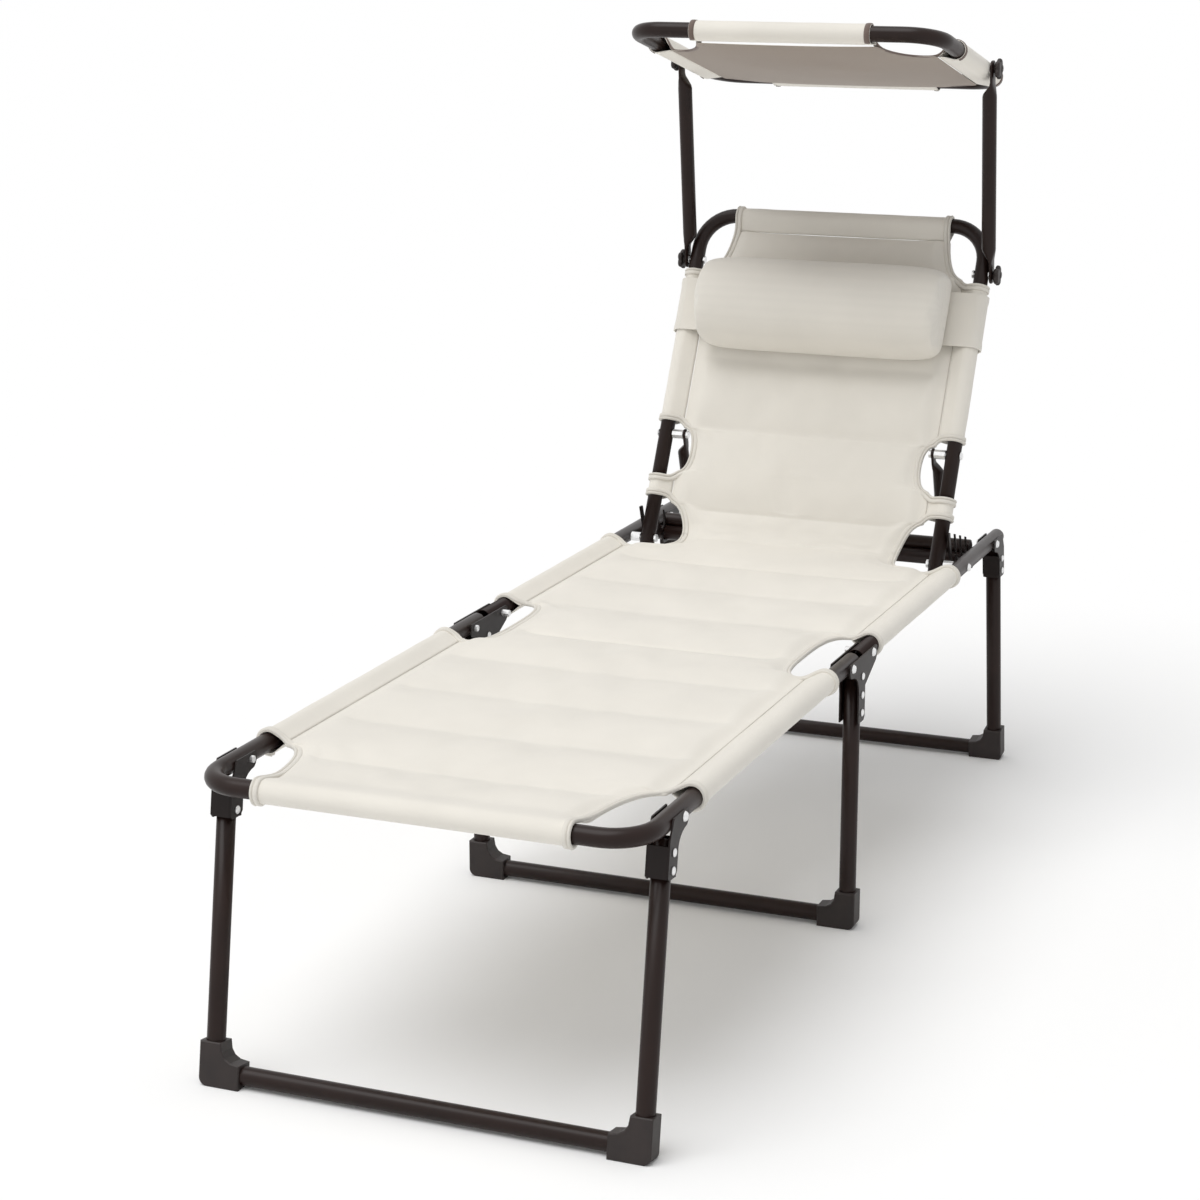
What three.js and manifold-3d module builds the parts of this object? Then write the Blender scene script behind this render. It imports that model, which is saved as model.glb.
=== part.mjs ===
// Folding sun lounger on three tube legs, with a padded sling, a head roll and a tilting sunshade.
// Millimetres, +Z up, +Y towards the head end, X across. Origin: middle of the footprint, on the ground.
import * as THREE from 'three';
import { mergeVertices } from 'three/addons/utils/BufferGeometryUtils.js';
import Module from 'manifold-3d';

const wasm = await Module();
wasm.setup();

// Tubes
const tubeRadius = 12.5;
const tubeWall = 1.2;
const armRadius = 12;
const propArmRadius = 9.5;
const outerSides = 12;
const boreSides = 6;
const bendSteps = 4;

// Overall layout: lengthwise places are counted from the middle leg's plane
const railHalfSpan = 297.5;
const railHeight = 412;
const frontTubePlace = -838;
const frontBendRadius = 55;
const seatRailEnd = 850;
const frontPivotPlace = -729;
const footPivotPlace = -39;
const seatPivotPlace = 60;
const rearPivotPlace = 791;
const middleLegPlace = 8;
const railStub = 40;
const crossTubePlace = 738;
const crossTubeDrop = 20;
const crossTubeInset = 5;

// Clearances
const softGap = 0.3;
const fitGap = 0.2;
const pivotGap = 0.15;
const overrun = 4;
const weldDistance = 0.0001;

// Legs
const legTilt = THREE.MathUtils.degToRad(9);
const frontLegSetback = 31.1;
const rearLegSetback = 34.3;
const legBendRadius = 40;
const crossbarHeight = 15.5;
const legTopDrop = 17;
const middleLegTopDrop = 26;

// Shoes at the leg corners
const shoeLength = 42.5;
const shoeHeight = 57;
const shoeHalfDepth = 15.4;
const shoeWall = 3;
const shoeCrossHeight = 31;
const shoeCornerRadius = 10;
const shoeBevel = 1.5;

// Brackets
const sheet = 2.3;
const cheekGap = 12.8;
const cheekTop = 8;
const cheekBevelDrop = 15;
const pivotEarRadius = 15;
const collarTopDrop = 26;
const collarHeight = 40;
const collarCorner = 4;
const bracketChamfer = 5;
const neckDrop = 32;
const rivetShares = [0.2, 0.75];

// Hinge bracket of the middle leg
const hingeCheekDrop = 92;
const hingeRearNeck = 40;
const hingeFrontNeck = 50;
const hingeEarReach = 20;
const hingeEarLip = 8;
const hingeEarEnd = THREE.MathUtils.degToRad(243);
const hingeWebReach = 25;
const hingeWebRise = 5;
const hingeLipStart = 10;
const hingeRivetShares = [0.25, 0.56, 0.85];

// Rivets and bolts
const rivetRadius = 4;
const rivetHeadRadius = 7;
const rivetHeadHeight = 3;
const smallHeadRadius = 5;
const smallHeadHeight = 1.6;
const rivetTail = 4;
const hingeBoltTail = 12;
const spacerRadius = 8;
const nutHeight = 3.7;
const nutRadius = 7;
const washerThickness = 1.2;
const pinSides = 8;
const headSides = 6;

// Tube plugs
const plugPlay = 1.8;
const plugDepth = 9;
const plugDome = 3;
const plugRimShare = 0.9;

// Backrest
const backRailSpacing = 42;
const backHalfSpan = railHalfSpan - backRailSpacing;
const backPivotPlace = 612;
const backAngle = THREE.MathUtils.degToRad(62.5);
const backLength = 591.5;
const backBendRadius = 62;
const backTailLength = 13;

// Rack
const rackThickness = 3;
const rackToothHeight = 52;
const rackLastToothHeight = 22;
const rackLean = THREE.MathUtils.degToRad(20);
const rackSeats = 4;
const rackPitch = 32;
const rackSeatGap = 1.2;
const rackSeatRise = 4;
const rackSkirt = 17;
const rackSlotGap = 0.8;
const rackWall = 10;
const rackTailLength = 1;
const rackTabLength = 6;
const rackTabHeight = 10;
const rackTabToothShares = [1.5, 2.5];

// Prop
const propPivotReach = 188;
const propLength = 176;
const propArmInset = 27.5;
const propSwing = THREE.MathUtils.degToRad(-134);
const propBarOverhang = 1;
const propPlateInset = 34.5;
const propPlateHalfThickness = 2.5;
const propPlateHalfWidth = 9;
const propPlateLength = 16;
const propNeckLength = 18;
const plateCorner = 0.6;
const plateTipShare = 0.55;

// Sunshade arms
const armPivotDrop = 84.5;
const armLength = 347.4;
const armAngle = THREE.MathUtils.degToRad(96.8);
const armPlateHalfThickness = 2.8;
const armPlateHalfWidth = 13;
const armBodyInset = 5.1;
const armNeck = 22;
const armShoulder = 24;
const armWall = 1.4;
const armVentRadius = 1.5;

// Sunshade hoop
const canopyAngle = THREE.MathUtils.degToRad(166.7);
const canopyFrontReach = 293;
const canopyRearReach = 138;
const canopyBendRadius = 55;
const hoopSeam = 0.3;

// Star knobs
const knobRadius = 15;
const knobThickness = 7.5;
const knobLobeDepth = 2.5;
const knobLobes = 5;
const knobLobeSteps = 5;
const knobBevel = 1.5;
const knobHubRadius = 7.5;
const knobHubLength = 3.8;
const knobBoreDepth = 6.6;
const boltReach = 6.3;

// Sling: pads, hems and stitched seams
const slingWall = 2.2;
const padThickness = 15;
const hemThickness = 4.5;
const padRise = 1.5;
const padEdgePower = 4;
const padColumns = 6;
const padRowSpacing = 14;
const seamPlace = 120;
const seamSpacing = 166;
const bedSeamCount = 9;
const bedSeamsAhead = 6;
const backSeamShares = [0.095, 0.3415, 0.5444, 0.7439, 0.9467, 1.15];

// Sling: rows of each panel
const footRowCount = 12;
const hingeRowCount = 8;
const seatRowCount = 8;
const bendRowCount = 10;
const backRowCount = 14;
const shadeRowCount = 10;

// Sling: sleeves
const footSleeveStart = -660;
const footSleeveEnd = -113;
const seatSleeveStart = 97;
const seatSleeveEnd = 545;
const frontSleeveInset = 82.5;
const topSleeveInset = 62.5;
const backBandStart = 74;
const backBandEnd = 112;
const backSleeveStart = 209;
const topNotchLength = 105.5;
const frontNotchLength = 178;

// Sling: notches at the hinge, the crease and the prop
const hingeNotchMiddle = -38.5;
const hingeNotchHalf = 126.5;
const hingeNotchDepth = 68.5;
const bendNotchStart = 480;
const bendNotchDepth = 64.5;
const bendCreasePlace = 603;
const bendCreaseReach = 9;
const propNotchDepth = 45.5;
const propPlateRoom = 2;
const notchCurve = 5;
const cornerShares = [
  [0, 0], [0.16, 0.05], [0.38, 0.12], [0.58, 0.21], [0.71, 0.33], [0.79, 0.5], [0.87, 0.73], [1, 1],
];

// Head roll and strap
const rollInset = 37.5;
const rollHalfHeight = 82;
const rollDepth = 100;
const rollDrop = 171.5;
const rollRings = 12;
const rollSides = 12;
const rollEndPower = 6;
const rollTipShare = 0.2;
const rollCrownPower = 0.8;
const strapInnerRadius = 16.8;
const strapHalfWidth = 47;
const strapThickness = 1.5;

// Sunshade cloth
const clothThickness = 1.1;
const clothSag = 14;
const clothSleeveInset = 105.5;
const clothSideSleeveStart = 123;
const clothSideSleeveEnd = 376;
const eyeletRadius = 9;

// Worked-out places
const backDirection = new THREE.Vector2(Math.cos(backAngle), Math.sin(backAngle));
const backTilt = backAngle - Math.PI / 2;
const shadeDirection = new THREE.Vector2(Math.cos(canopyAngle), Math.sin(canopyAngle));
const propPivot = pointOnBack(propPivotReach);
const propAngle = backAngle + propSwing;
const propBar = new THREE.Vector2(
  propPivot.x + propLength * Math.cos(propAngle),
  propPivot.y + propLength * Math.sin(propAngle),
);
const armPivot = pointOnBack(backLength - armPivotDrop);
const canopyPivot = new THREE.Vector2(
  armPivot.x + armLength * Math.cos(armAngle),
  armPivot.y + armLength * Math.sin(armAngle),
);
const slingRadius = tubeRadius + softGap + slingWall;
const railInner = railHalfSpan - tubeRadius;
const railOuter = railHalfSpan + tubeRadius;
const backInner = backHalfSpan - tubeRadius;
const backOuter = backHalfSpan + tubeRadius;
const cheekOuter = cheekGap + sheet;
const shoeInnerReach = railHalfSpan - shoeLength;
const rackPlace = backHalfSpan + slingRadius + softGap;
const propBarHalf = rackPlace + rackThickness + propBarOverhang;
const propArmPlace = backHalfSpan - propArmInset;
const propPlatePlace = backHalfSpan - propPlateInset;
const armPlatePlace = backOuter + softGap + washerThickness + softGap + armPlateHalfThickness;
const armBodyPlace = armPlatePlace - armBodyInset;
const frontSleeveHalf = railHalfSpan - frontSleeveInset;
const topSleeveHalf = backHalfSpan - topSleeveInset;
const backSleeveEnd = backLength - topNotchLength;
const clothSleeveHalf = backHalfSpan - clothSleeveInset;
const rollReach = backLength - rollDrop;
const frontEdge = frontTubePlace - slingRadius;
const hoopRear = canopyPivot.x - canopyRearReach * Math.cos(canopyAngle);
const rearEdge = hoopRear + tubeRadius + softGap + clothThickness;

function pointOnBack(reach) {
  return new THREE.Vector2(
    backPivotPlace + reach * backDirection.x,
    railHeight + reach * backDirection.y,
  );
}

// Materials
const tubePaint = new THREE.MeshStandardMaterial({ color: 0x35231f, roughness: 0.42, metalness: 0.35 });
const bracketPaint = new THREE.MeshStandardMaterial({ color: 0x1e1513, roughness: 0.5, metalness: 0.3 });
const blackPlastic = new THREE.MeshStandardMaterial({ color: 0x1b1413, roughness: 0.6, metalness: 0 });
const zincSteel = new THREE.MeshStandardMaterial({ color: 0xd8d8d6, roughness: 0.35, metalness: 0.9 });
const slingFabric = new THREE.MeshStandardMaterial({ color: 0xf0ede6, roughness: 0.85, metalness: 0 });
const rollFabric = new THREE.MeshStandardMaterial({ color: 0xdfd9d0, roughness: 0.85, metalness: 0 });
const shadeCloth = new THREE.MeshStandardMaterial({ color: 0xefece5, roughness: 0.9, metalness: 0 });

// Solids: joining, cutting and placing
function solidFrom(geometry) {
  const bare = geometry.clone();
  bare.deleteAttribute('normal');
  bare.deleteAttribute('uv');
  const merged = mergeVertices(bare, weldDistance);
  return new wasm.Manifold(new wasm.Mesh({
    numProp: 3,
    vertProperties: Float32Array.from(merged.attributes.position.array),
    triVerts: Uint32Array.from(merged.index.array),
  }));
}

function geometryFrom(solid) {
  const mesh = solid.getMesh();
  const geometry = new THREE.BufferGeometry();
  geometry.setAttribute('position', new THREE.BufferAttribute(mesh.vertProperties, 3));
  geometry.setIndex(new THREE.BufferAttribute(mesh.triVerts, 1));
  geometry.computeVertexNormals();
  return geometry;
}

function join(geometries) {
  return geometries.map(solidFrom).reduce((whole, next) => whole.add(next));
}

function carve(solid, cutters) {
  return cutters.reduce((whole, cutter) => whole.subtract(solidFrom(cutter)), solid);
}

function ringPoints(radius, sides) {
  return Array.from({ length: sides }, (_, i) => {
    const angle = (i * 2 * Math.PI) / sides;
    return new THREE.Vector2(radius * Math.cos(angle), radius * Math.sin(angle));
  });
}

// Polygons for bores are drawn round their circle, so a round pin clears every flat
function boreRadius(radius, sides) {
  return radius / Math.cos(Math.PI / sides);
}

function rodAlongX(radius, from, to, sides = pinSides) {
  const section = new THREE.Shape(ringPoints(radius, sides));
  const rod = new THREE.ExtrudeGeometry(section, { depth: to - from, bevelEnabled: false });
  return rod.rotateY(Math.PI / 2).translate(from, 0, 0);
}

function boreAlongX(radius, from, to, sides = pinSides) {
  return rodAlongX(boreRadius(radius, sides), from, to, sides);
}

function tubeShape(radius, wall) {
  const shape = new THREE.Shape(ringPoints(radius, outerSides));
  if (wall > 0) {
    shape.holes.push(new THREE.Path(ringPoints(radius - wall, boreSides)));
  }
  return shape;
}

// Side profiles are drawn as (lengthwise, height) and extruded across
const sideProfileTurn = new THREE.Matrix4().makeBasis(
  new THREE.Vector3(0, 1, 0),
  new THREE.Vector3(0, 0, 1),
  new THREE.Vector3(1, 0, 0),
);
// Front profiles are drawn as (across, height) and extruded lengthwise
const frontProfileTurn = new THREE.Matrix4().makeBasis(
  new THREE.Vector3(1, 0, 0),
  new THREE.Vector3(0, 0, 1),
  new THREE.Vector3(0, -1, 0),
);

function sidePlate(shape, from, thickness, curveSegments = 5) {
  const plate = new THREE.ExtrudeGeometry(shape, { depth: thickness, bevelEnabled: false, curveSegments });
  return plate.applyMatrix4(sideProfileTurn).translate(from, 0, 0);
}

function block(width, depth, height, x, y, z) {
  return new THREE.BoxGeometry(width, depth, height).translate(x, y, z);
}

// A tube's route: straight runs with a round bend at each inner corner
class BentRoute extends THREE.Curve {
  constructor(corners, bendRadius) {
    super();
    const headings = corners.slice(1).map((corner, i) => corner.clone().sub(corners[i]).normalize());
    this.stations = [{ place: corners[0], heading: headings[0] }];
    for (let i = 1; i < corners.length - 1; i += 1) {
      this.addBend(corners[i], headings[i - 1], headings[i], bendRadius);
    }
    this.stations.push({ place: corners.at(-1), heading: headings.at(-1) });
  }

  addBend(corner, before, after, bendRadius) {
    const turn = before.angleTo(after);
    const axis = before.clone().cross(after).normalize();
    const inward = axis.clone().cross(before);
    const start = corner.clone().addScaledVector(before, -bendRadius * Math.tan(turn / 2));
    const centre = start.clone().addScaledVector(inward, bendRadius);
    for (let step = 0; step <= bendSteps; step += 1) {
      const angle = (turn * step) / bendSteps;
      this.stations.push({
        place: start.clone().sub(centre).applyAxisAngle(axis, angle).add(centre),
        heading: before.clone().applyAxisAngle(axis, angle),
      });
    }
  }

  stationAt(u) {
    return this.stations[Math.round(u * (this.stations.length - 1))];
  }

  getPoint(u) {
    return this.stationAt(u).place.clone();
  }

  getPointAt(u) {
    return this.getPoint(u);
  }

  getTangent(u) {
    return this.stationAt(u).heading.clone();
  }

  getTangentAt(u) {
    return this.getTangent(u);
  }
}

function bentTube(corners, bendRadius, radius, wall) {
  const extrudePath = new BentRoute(corners, bendRadius);
  const steps = extrudePath.stations.length - 1;
  return new THREE.ExtrudeGeometry(tubeShape(radius, wall), { steps, extrudePath });
}

// A closed skin through rings of equal point counts, capped at both ends
function loft(rings) {
  const count = rings[0].length;
  const points = rings.flat();
  const faces = [];
  for (let i = 0; i < rings.length - 1; i += 1) {
    for (let j = 0; j < count; j += 1) {
      const next = (j + 1) % count;
      const a = i * count + j;
      const b = i * count + next;
      faces.push(a, b, b + count, a, b + count, a + count);
    }
  }
  const last = (rings.length - 1) * count;
  for (let j = 1; j < count - 1; j += 1) {
    faces.push(0, j + 1, j, last, last + j, last + j + 1);
  }
  return facing(points, faces);
}

// A pad from rows of matching top and bottom points
function padSkin(rows) {
  const columns = rows[0].top.length;
  const rings = rows.map((row) => [...row.top, ...row.bottom.slice().reverse()]);
  const count = rings[0].length;
  const points = rings.flat();
  const faces = [];
  for (let i = 0; i < rings.length - 1; i += 1) {
    for (let j = 0; j < count; j += 1) {
      const next = (j + 1) % count;
      const a = i * count + j;
      const b = i * count + next;
      faces.push(a, b, b + count, a, b + count, a + count);
    }
  }
  const last = (rings.length - 1) * count;
  for (let j = 0; j < columns - 1; j += 1) {
    const low = count - 1 - j;
    faces.push(j, low, low - 1, j, low - 1, j + 1);
    faces.push(last + j, last + low - 1, last + low, last + j, last + j + 1, last + low - 1);
  }
  return facing(points, faces);
}

function facing(points, faces) {
  let volume = 0;
  for (let i = 0; i < faces.length; i += 3) {
    const [a, b, c] = [points[faces[i]], points[faces[i + 1]], points[faces[i + 2]]];
    volume += a.dot(b.clone().cross(c));
  }
  if (volume < 0) {
    for (let i = 0; i < faces.length; i += 3) {
      [faces[i + 1], faces[i + 2]] = [faces[i + 2], faces[i + 1]];
    }
  }
  const geometry = new THREE.BufferGeometry().setFromPoints(points);
  geometry.setIndex(faces);
  return geometry;
}

// The assembly and its sub-groups
const lounger = new THREE.Group();
lounger.position.y = -(frontEdge + rearEdge) / 2;

function addPiece(parent, name, shape, material, x = 0, y = 0, z = 0) {
  const geometry = shape.isBufferGeometry ? shape : geometryFrom(shape);
  const mesh = new THREE.Mesh(geometry, material);
  mesh.name = name;
  mesh.position.set(x, y, z);
  parent.add(mesh);
  return mesh;
}

function subGroup(y, z, turn) {
  const group = new THREE.Group();
  group.position.set(0, y, z);
  group.rotation.x = turn;
  lounger.add(group);
  return group;
}

const sides = [['left', -1], ['right', 1]];

// Rivets, bolts and caps: revolved about their own axis, then turned across
const across = (geometry, side) => geometry.rotateZ((-side * Math.PI) / 2);

function pinProfile(steps) {
  const points = [new THREE.Vector2(0, steps[0].from)];
  steps.forEach(({ from, to, radius, tip = radius }) => {
    points.push(new THREE.Vector2(radius, from), new THREE.Vector2(tip, to));
  });
  points.push(new THREE.Vector2(0, steps.at(-1).to));
  return new THREE.LatheGeometry(points, pinSides);
}

// A pivot rivet, tail inboard and domed head outside; distances run outwards from the rail's centre
function pivotRivet(tail) {
  const inboard = -cheekOuter - fitGap;
  const outboard = cheekOuter + fitGap;
  return pinProfile([
    { from: inboard - tail, to: inboard, radius: smallHeadRadius },
    { from: inboard, to: outboard, radius: rivetRadius },
    domedHead(outboard),
  ]);
}

// Legs are drawn upright in their own frame, with the fold pivot as origin
function legCorners(bottom, top) {
  return [
    new THREE.Vector3(-railHalfSpan, 0, top),
    new THREE.Vector3(-railHalfSpan, 0, bottom),
    new THREE.Vector3(railHalfSpan, 0, bottom),
    new THREE.Vector3(railHalfSpan, 0, top),
  ];
}

// Moulded corner shoe: an L round the bend, cut flat where it meets the ground
function shoeSolid(side, corners, tilt) {
  const sole = crossbarHeight + shoeHalfDepth * Math.abs(Math.tan(tilt));
  const edge = railOuter + shoeWall - shoeBevel;
  const inner = shoeInnerReach + shoeBevel;
  const legSide = railHalfSpan - cheekOuter + shoeBevel;
  const low = shoeBevel - sole;
  const high = shoeHeight - crossbarHeight - shoeBevel;
  const step = shoeCrossHeight - crossbarHeight - shoeBevel;
  const outline = new THREE.Shape();
  outline.moveTo(inner, low);
  outline.lineTo(edge - shoeCornerRadius, low);
  outline.absarc(edge - shoeCornerRadius, low + shoeCornerRadius, shoeCornerRadius, -Math.PI / 2, 0);
  outline.lineTo(edge, high);
  outline.lineTo(legSide, high);
  outline.quadraticCurveTo(legSide, step, inner, step);
  const body = new THREE.ExtrudeGeometry(outline, {
    depth: 2 * (shoeHalfDepth - shoeBevel),
    bevelThickness: shoeBevel,
    bevelSize: shoeBevel,
    bevelSegments: 1,
    curveSegments: 4,
  });
  body.translate(0, 0, shoeBevel - shoeHalfDepth).applyMatrix4(frontProfileTurn);
  if (side < 0) {
    body.rotateZ(Math.PI);
  }
  const bore = bentTube(corners, legBendRadius, boreRadius(tubeRadius, outerSides) + fitGap, 0);
  bore.translate(0, 0, -corners[1].z);
  const ground = block(2 * railOuter, 2 * shoeHeight, shoeHeight, side * railOuter, 0, 0);
  ground.translate(0, 0, -crossbarHeight - shoeHeight / 2).rotateX(-tilt);
  return carve(solidFrom(body), [bore, ground]);
}

// tilt leans the foot away from the pivot; setback is the leg's distance from its pivot
function addLeg(name, place, tilt, setback, topDrop) {
  const group = subGroup(place, railHeight, tilt);
  const rise = Math.abs(setback * Math.sin(tilt));
  const bottom = (crossbarHeight - railHeight - rise) / Math.cos(tilt);
  const top = -(topDrop + rise) / Math.cos(tilt);
  const corners = legCorners(bottom, top);
  const tube = bentTube(corners, legBendRadius, tubeRadius, tubeWall);
  addPiece(group, `${name}_leg`, tube, tubePaint, 0, setback, 0);
  sides.forEach(([label, side]) => {
    const shoe = shoeSolid(side, corners, tilt);
    addPiece(group, `${name}_shoe_${label}`, shoe, blackPlastic, 0, setback, bottom);
  });
}

// The collar that grips a leg's top: a square ring with rounded corners
function roundedSquare(half, corner) {
  const path = new THREE.Shape();
  path.absarc(half - corner, half - corner, corner, 0, Math.PI / 2);
  path.absarc(corner - half, half - corner, corner, Math.PI / 2, Math.PI);
  path.absarc(corner - half, corner - half, corner, Math.PI, 1.5 * Math.PI);
  path.absarc(half - corner, corner - half, corner, 1.5 * Math.PI, 2 * Math.PI);
  return path;
}

function collarRing(height, top) {
  const ring = roundedSquare(cheekOuter, collarCorner);
  ring.holes.push(roundedSquare(cheekGap, collarCorner - sheet));
  const collar = new THREE.ExtrudeGeometry(ring, { depth: height, bevelEnabled: false, curveSegments: 2 });
  return collar.translate(0, 0, top - height);
}

function cheekPair(shape) {
  return [sidePlate(shape, cheekGap, sheet), sidePlate(shape, -cheekOuter, sheet)];
}

function rivetHeads(places) {
  const from = cheekGap + sheet / 2;
  const to = cheekOuter + smallHeadHeight;
  return places.flatMap(([y, z]) => [
    rodAlongX(smallHeadRadius, from, to, headSides).translate(0, y, z),
    rodAlongX(smallHeadRadius, -to, -from, headSides).translate(0, y, z),
  ]);
}

// Stamped end bracket: collar round the leg, ears either side of the rail, one pivot.
// away is the side of the pivot that the leg stands on: -1 towards the foot end, 1 towards the head end.
function endBracket(away, setback) {
  const slope = Math.tan(legTilt);
  const legAxis = (height) => away * (setback / Math.cos(legTilt) - height * slope);
  const outward = (distance, height) => legAxis(height) + away * distance;
  const low = -collarTopDrop - collarHeight;
  const shape = new THREE.Shape();
  const earPoint = (angle) => [-away * pivotEarRadius * Math.cos(angle), pivotEarRadius * Math.sin(angle)];
  const earTop = Math.asin(cheekTop / pivotEarRadius);
  const earLow = -Math.PI / 3;
  shape.moveTo(...earPoint(earTop));
  shape.lineTo(away * (setback + cheekTop / 2), cheekTop);
  shape.lineTo(outward(cheekOuter, -cheekBevelDrop), -cheekBevelDrop);
  shape.lineTo(outward(cheekOuter, low + bracketChamfer), low + bracketChamfer);
  shape.lineTo(outward(cheekOuter - bracketChamfer, low), low);
  shape.lineTo(outward(bracketChamfer - cheekOuter, low), low);
  shape.lineTo(outward(-cheekOuter, low + bracketChamfer), low + bracketChamfer);
  shape.lineTo(outward(-cheekOuter, -neckDrop), -neckDrop);
  shape.quadraticCurveTo(away * cheekBevelDrop, -cheekBevelDrop, ...earPoint(earLow));
  for (let step = 1; step < bendSteps; step += 1) {
    shape.lineTo(...earPoint(earLow + ((earTop - earLow) * step) / bendSteps));
  }
  const collar = collarRing(collarHeight, -collarTopDrop);
  collar.rotateX(away * legTilt).translate(0, legAxis(0), 0);
  const rivets = rivetShares.map((share) => {
    const height = -collarTopDrop - collarHeight * share;
    return [legAxis(height), height];
  });
  const body = join([...cheekPair(shape), collar, ...rivetHeads(rivets)]);
  return carve(body, [boreAlongX(rivetRadius + pivotGap, -cheekOuter - overrun, cheekOuter + overrun)]);
}

// Stamped hinge bracket of the middle leg: a channel open to the front, with one pivot for each rail.
// Its web ends below the seat rail's free end; a lip behind the pivot carries that rail when the bed is open.
function hingeBracket() {
  const seatEar = seatPivotPlace - middleLegPlace;
  const footEar = footPivotPlace - middleLegPlace;
  const earTop = Math.asin(cheekTop / pivotEarRadius);
  const lipLow = -tubeRadius - fitGap - sheet;
  const lipEnd = seatEar + pivotEarRadius;
  const shape = new THREE.Shape();
  shape.moveTo(-cheekOuter, -hingeCheekDrop);
  shape.lineTo(cheekOuter - bracketChamfer, -hingeCheekDrop);
  shape.lineTo(cheekOuter, bracketChamfer - hingeCheekDrop);
  shape.lineTo(cheekOuter, -hingeRearNeck);
  shape.lineTo(lipEnd, lipLow);
  shape.lineTo(seatEar + hingeEarReach, -hingeEarLip);
  shape.lineTo(seatEar + hingeEarReach, bracketChamfer);
  shape.lineTo(lipEnd, cheekTop);
  shape.absarc(footEar, 0, pivotEarRadius, Math.PI - earTop, hingeEarEnd);
  shape.quadraticCurveTo(-cheekOuter, -pivotEarRadius, -cheekOuter, -hingeFrontNeck);
  const web = new THREE.Shape();
  web.moveTo(cheekOuter, bracketChamfer - hingeCheekDrop);
  web.lineTo(cheekOuter, -hingeRearNeck);
  web.lineTo(hingeWebReach, hingeWebRise - hingeRearNeck);
  web.lineTo(hingeWebReach, hingeWebRise - hingeRearNeck + sheet);
  web.lineTo(cheekGap, sheet - hingeRearNeck);
  web.lineTo(cheekGap, bracketChamfer - hingeCheekDrop);
  const lipDepth = pivotEarRadius - hingeLipStart;
  const lip = block(2 * cheekOuter, lipDepth, sheet, 0, lipEnd - lipDepth / 2, lipLow + sheet / 2);
  const heads = hingeRivetShares.map((share) => [0, -hingeCheekDrop * share]);
  const back = sidePlate(web, -cheekOuter, 2 * cheekOuter);
  const body = join([...cheekPair(shape), back, lip, ...rivetHeads(heads)]);
  const bore = () => boreAlongX(rivetRadius + pivotGap, -cheekOuter - overrun, cheekOuter + overrun);
  return carve(body, [bore().translate(0, seatEar, 0), bore().translate(0, footEar, 0)]);
}

addLeg('front', frontPivotPlace, -legTilt, -frontLegSetback, legTopDrop);
addLeg('rear', rearPivotPlace, legTilt, rearLegSetback, legTopDrop);
addLeg('middle', middleLegPlace, 0, 0, middleLegTopDrop);

sides.forEach(([label, side]) => {
  const x = side * railHalfSpan;
  const onRail = (name, shape, material, place) => (
    addPiece(lounger, `${name}_${label}`, shape, material, x, place, railHeight)
  );
  const rivet = (tail) => across(pivotRivet(tail), side);
  onRail('front_bracket', endBracket(-1, frontLegSetback), bracketPaint, frontPivotPlace);
  onRail('rear_bracket', endBracket(1, rearLegSetback), bracketPaint, rearPivotPlace);
  onRail('hinge_bracket', hingeBracket(), bracketPaint, middleLegPlace);
  onRail('front_leg_rivet', rivet(rivetTail), zincSteel, frontPivotPlace);
  onRail('rear_leg_rivet', rivet(rivetTail), zincSteel, rearPivotPlace);
  onRail('foot_hinge_rivet', rivet(rivetTail), zincSteel, footPivotPlace);
  onRail('seat_hinge_bolt', rivet(hingeBoltTail), zincSteel, seatPivotPlace);
});

// Foot frame: one tube bent to a U, open at the hinge
function holesThrough(places, span) {
  return places.map(([y, z]) => boreAlongX(rivetRadius + pivotGap, -span, span).translate(0, y, z));
}

const footEnd = footPivotPlace + railStub;
const footTube = bentTube([
  new THREE.Vector3(-railHalfSpan, footEnd, railHeight),
  new THREE.Vector3(-railHalfSpan, frontTubePlace, railHeight),
  new THREE.Vector3(railHalfSpan, frontTubePlace, railHeight),
  new THREE.Vector3(railHalfSpan, footEnd, railHeight),
], frontBendRadius, tubeRadius, tubeWall);
const footHoles = holesThrough([
  [frontPivotPlace, railHeight],
  [footPivotPlace, railHeight],
], railOuter + overrun);
addPiece(lounger, 'foot_frame', carve(solidFrom(footTube), footHoles), tubePaint);

// Seat frame: two rails and a cross tube whose ends are coped clear of the folded rear leg
function tubeAlong(from, to, radius, wall) {
  return bentTube([from, to], 0, radius, wall);
}

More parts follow.
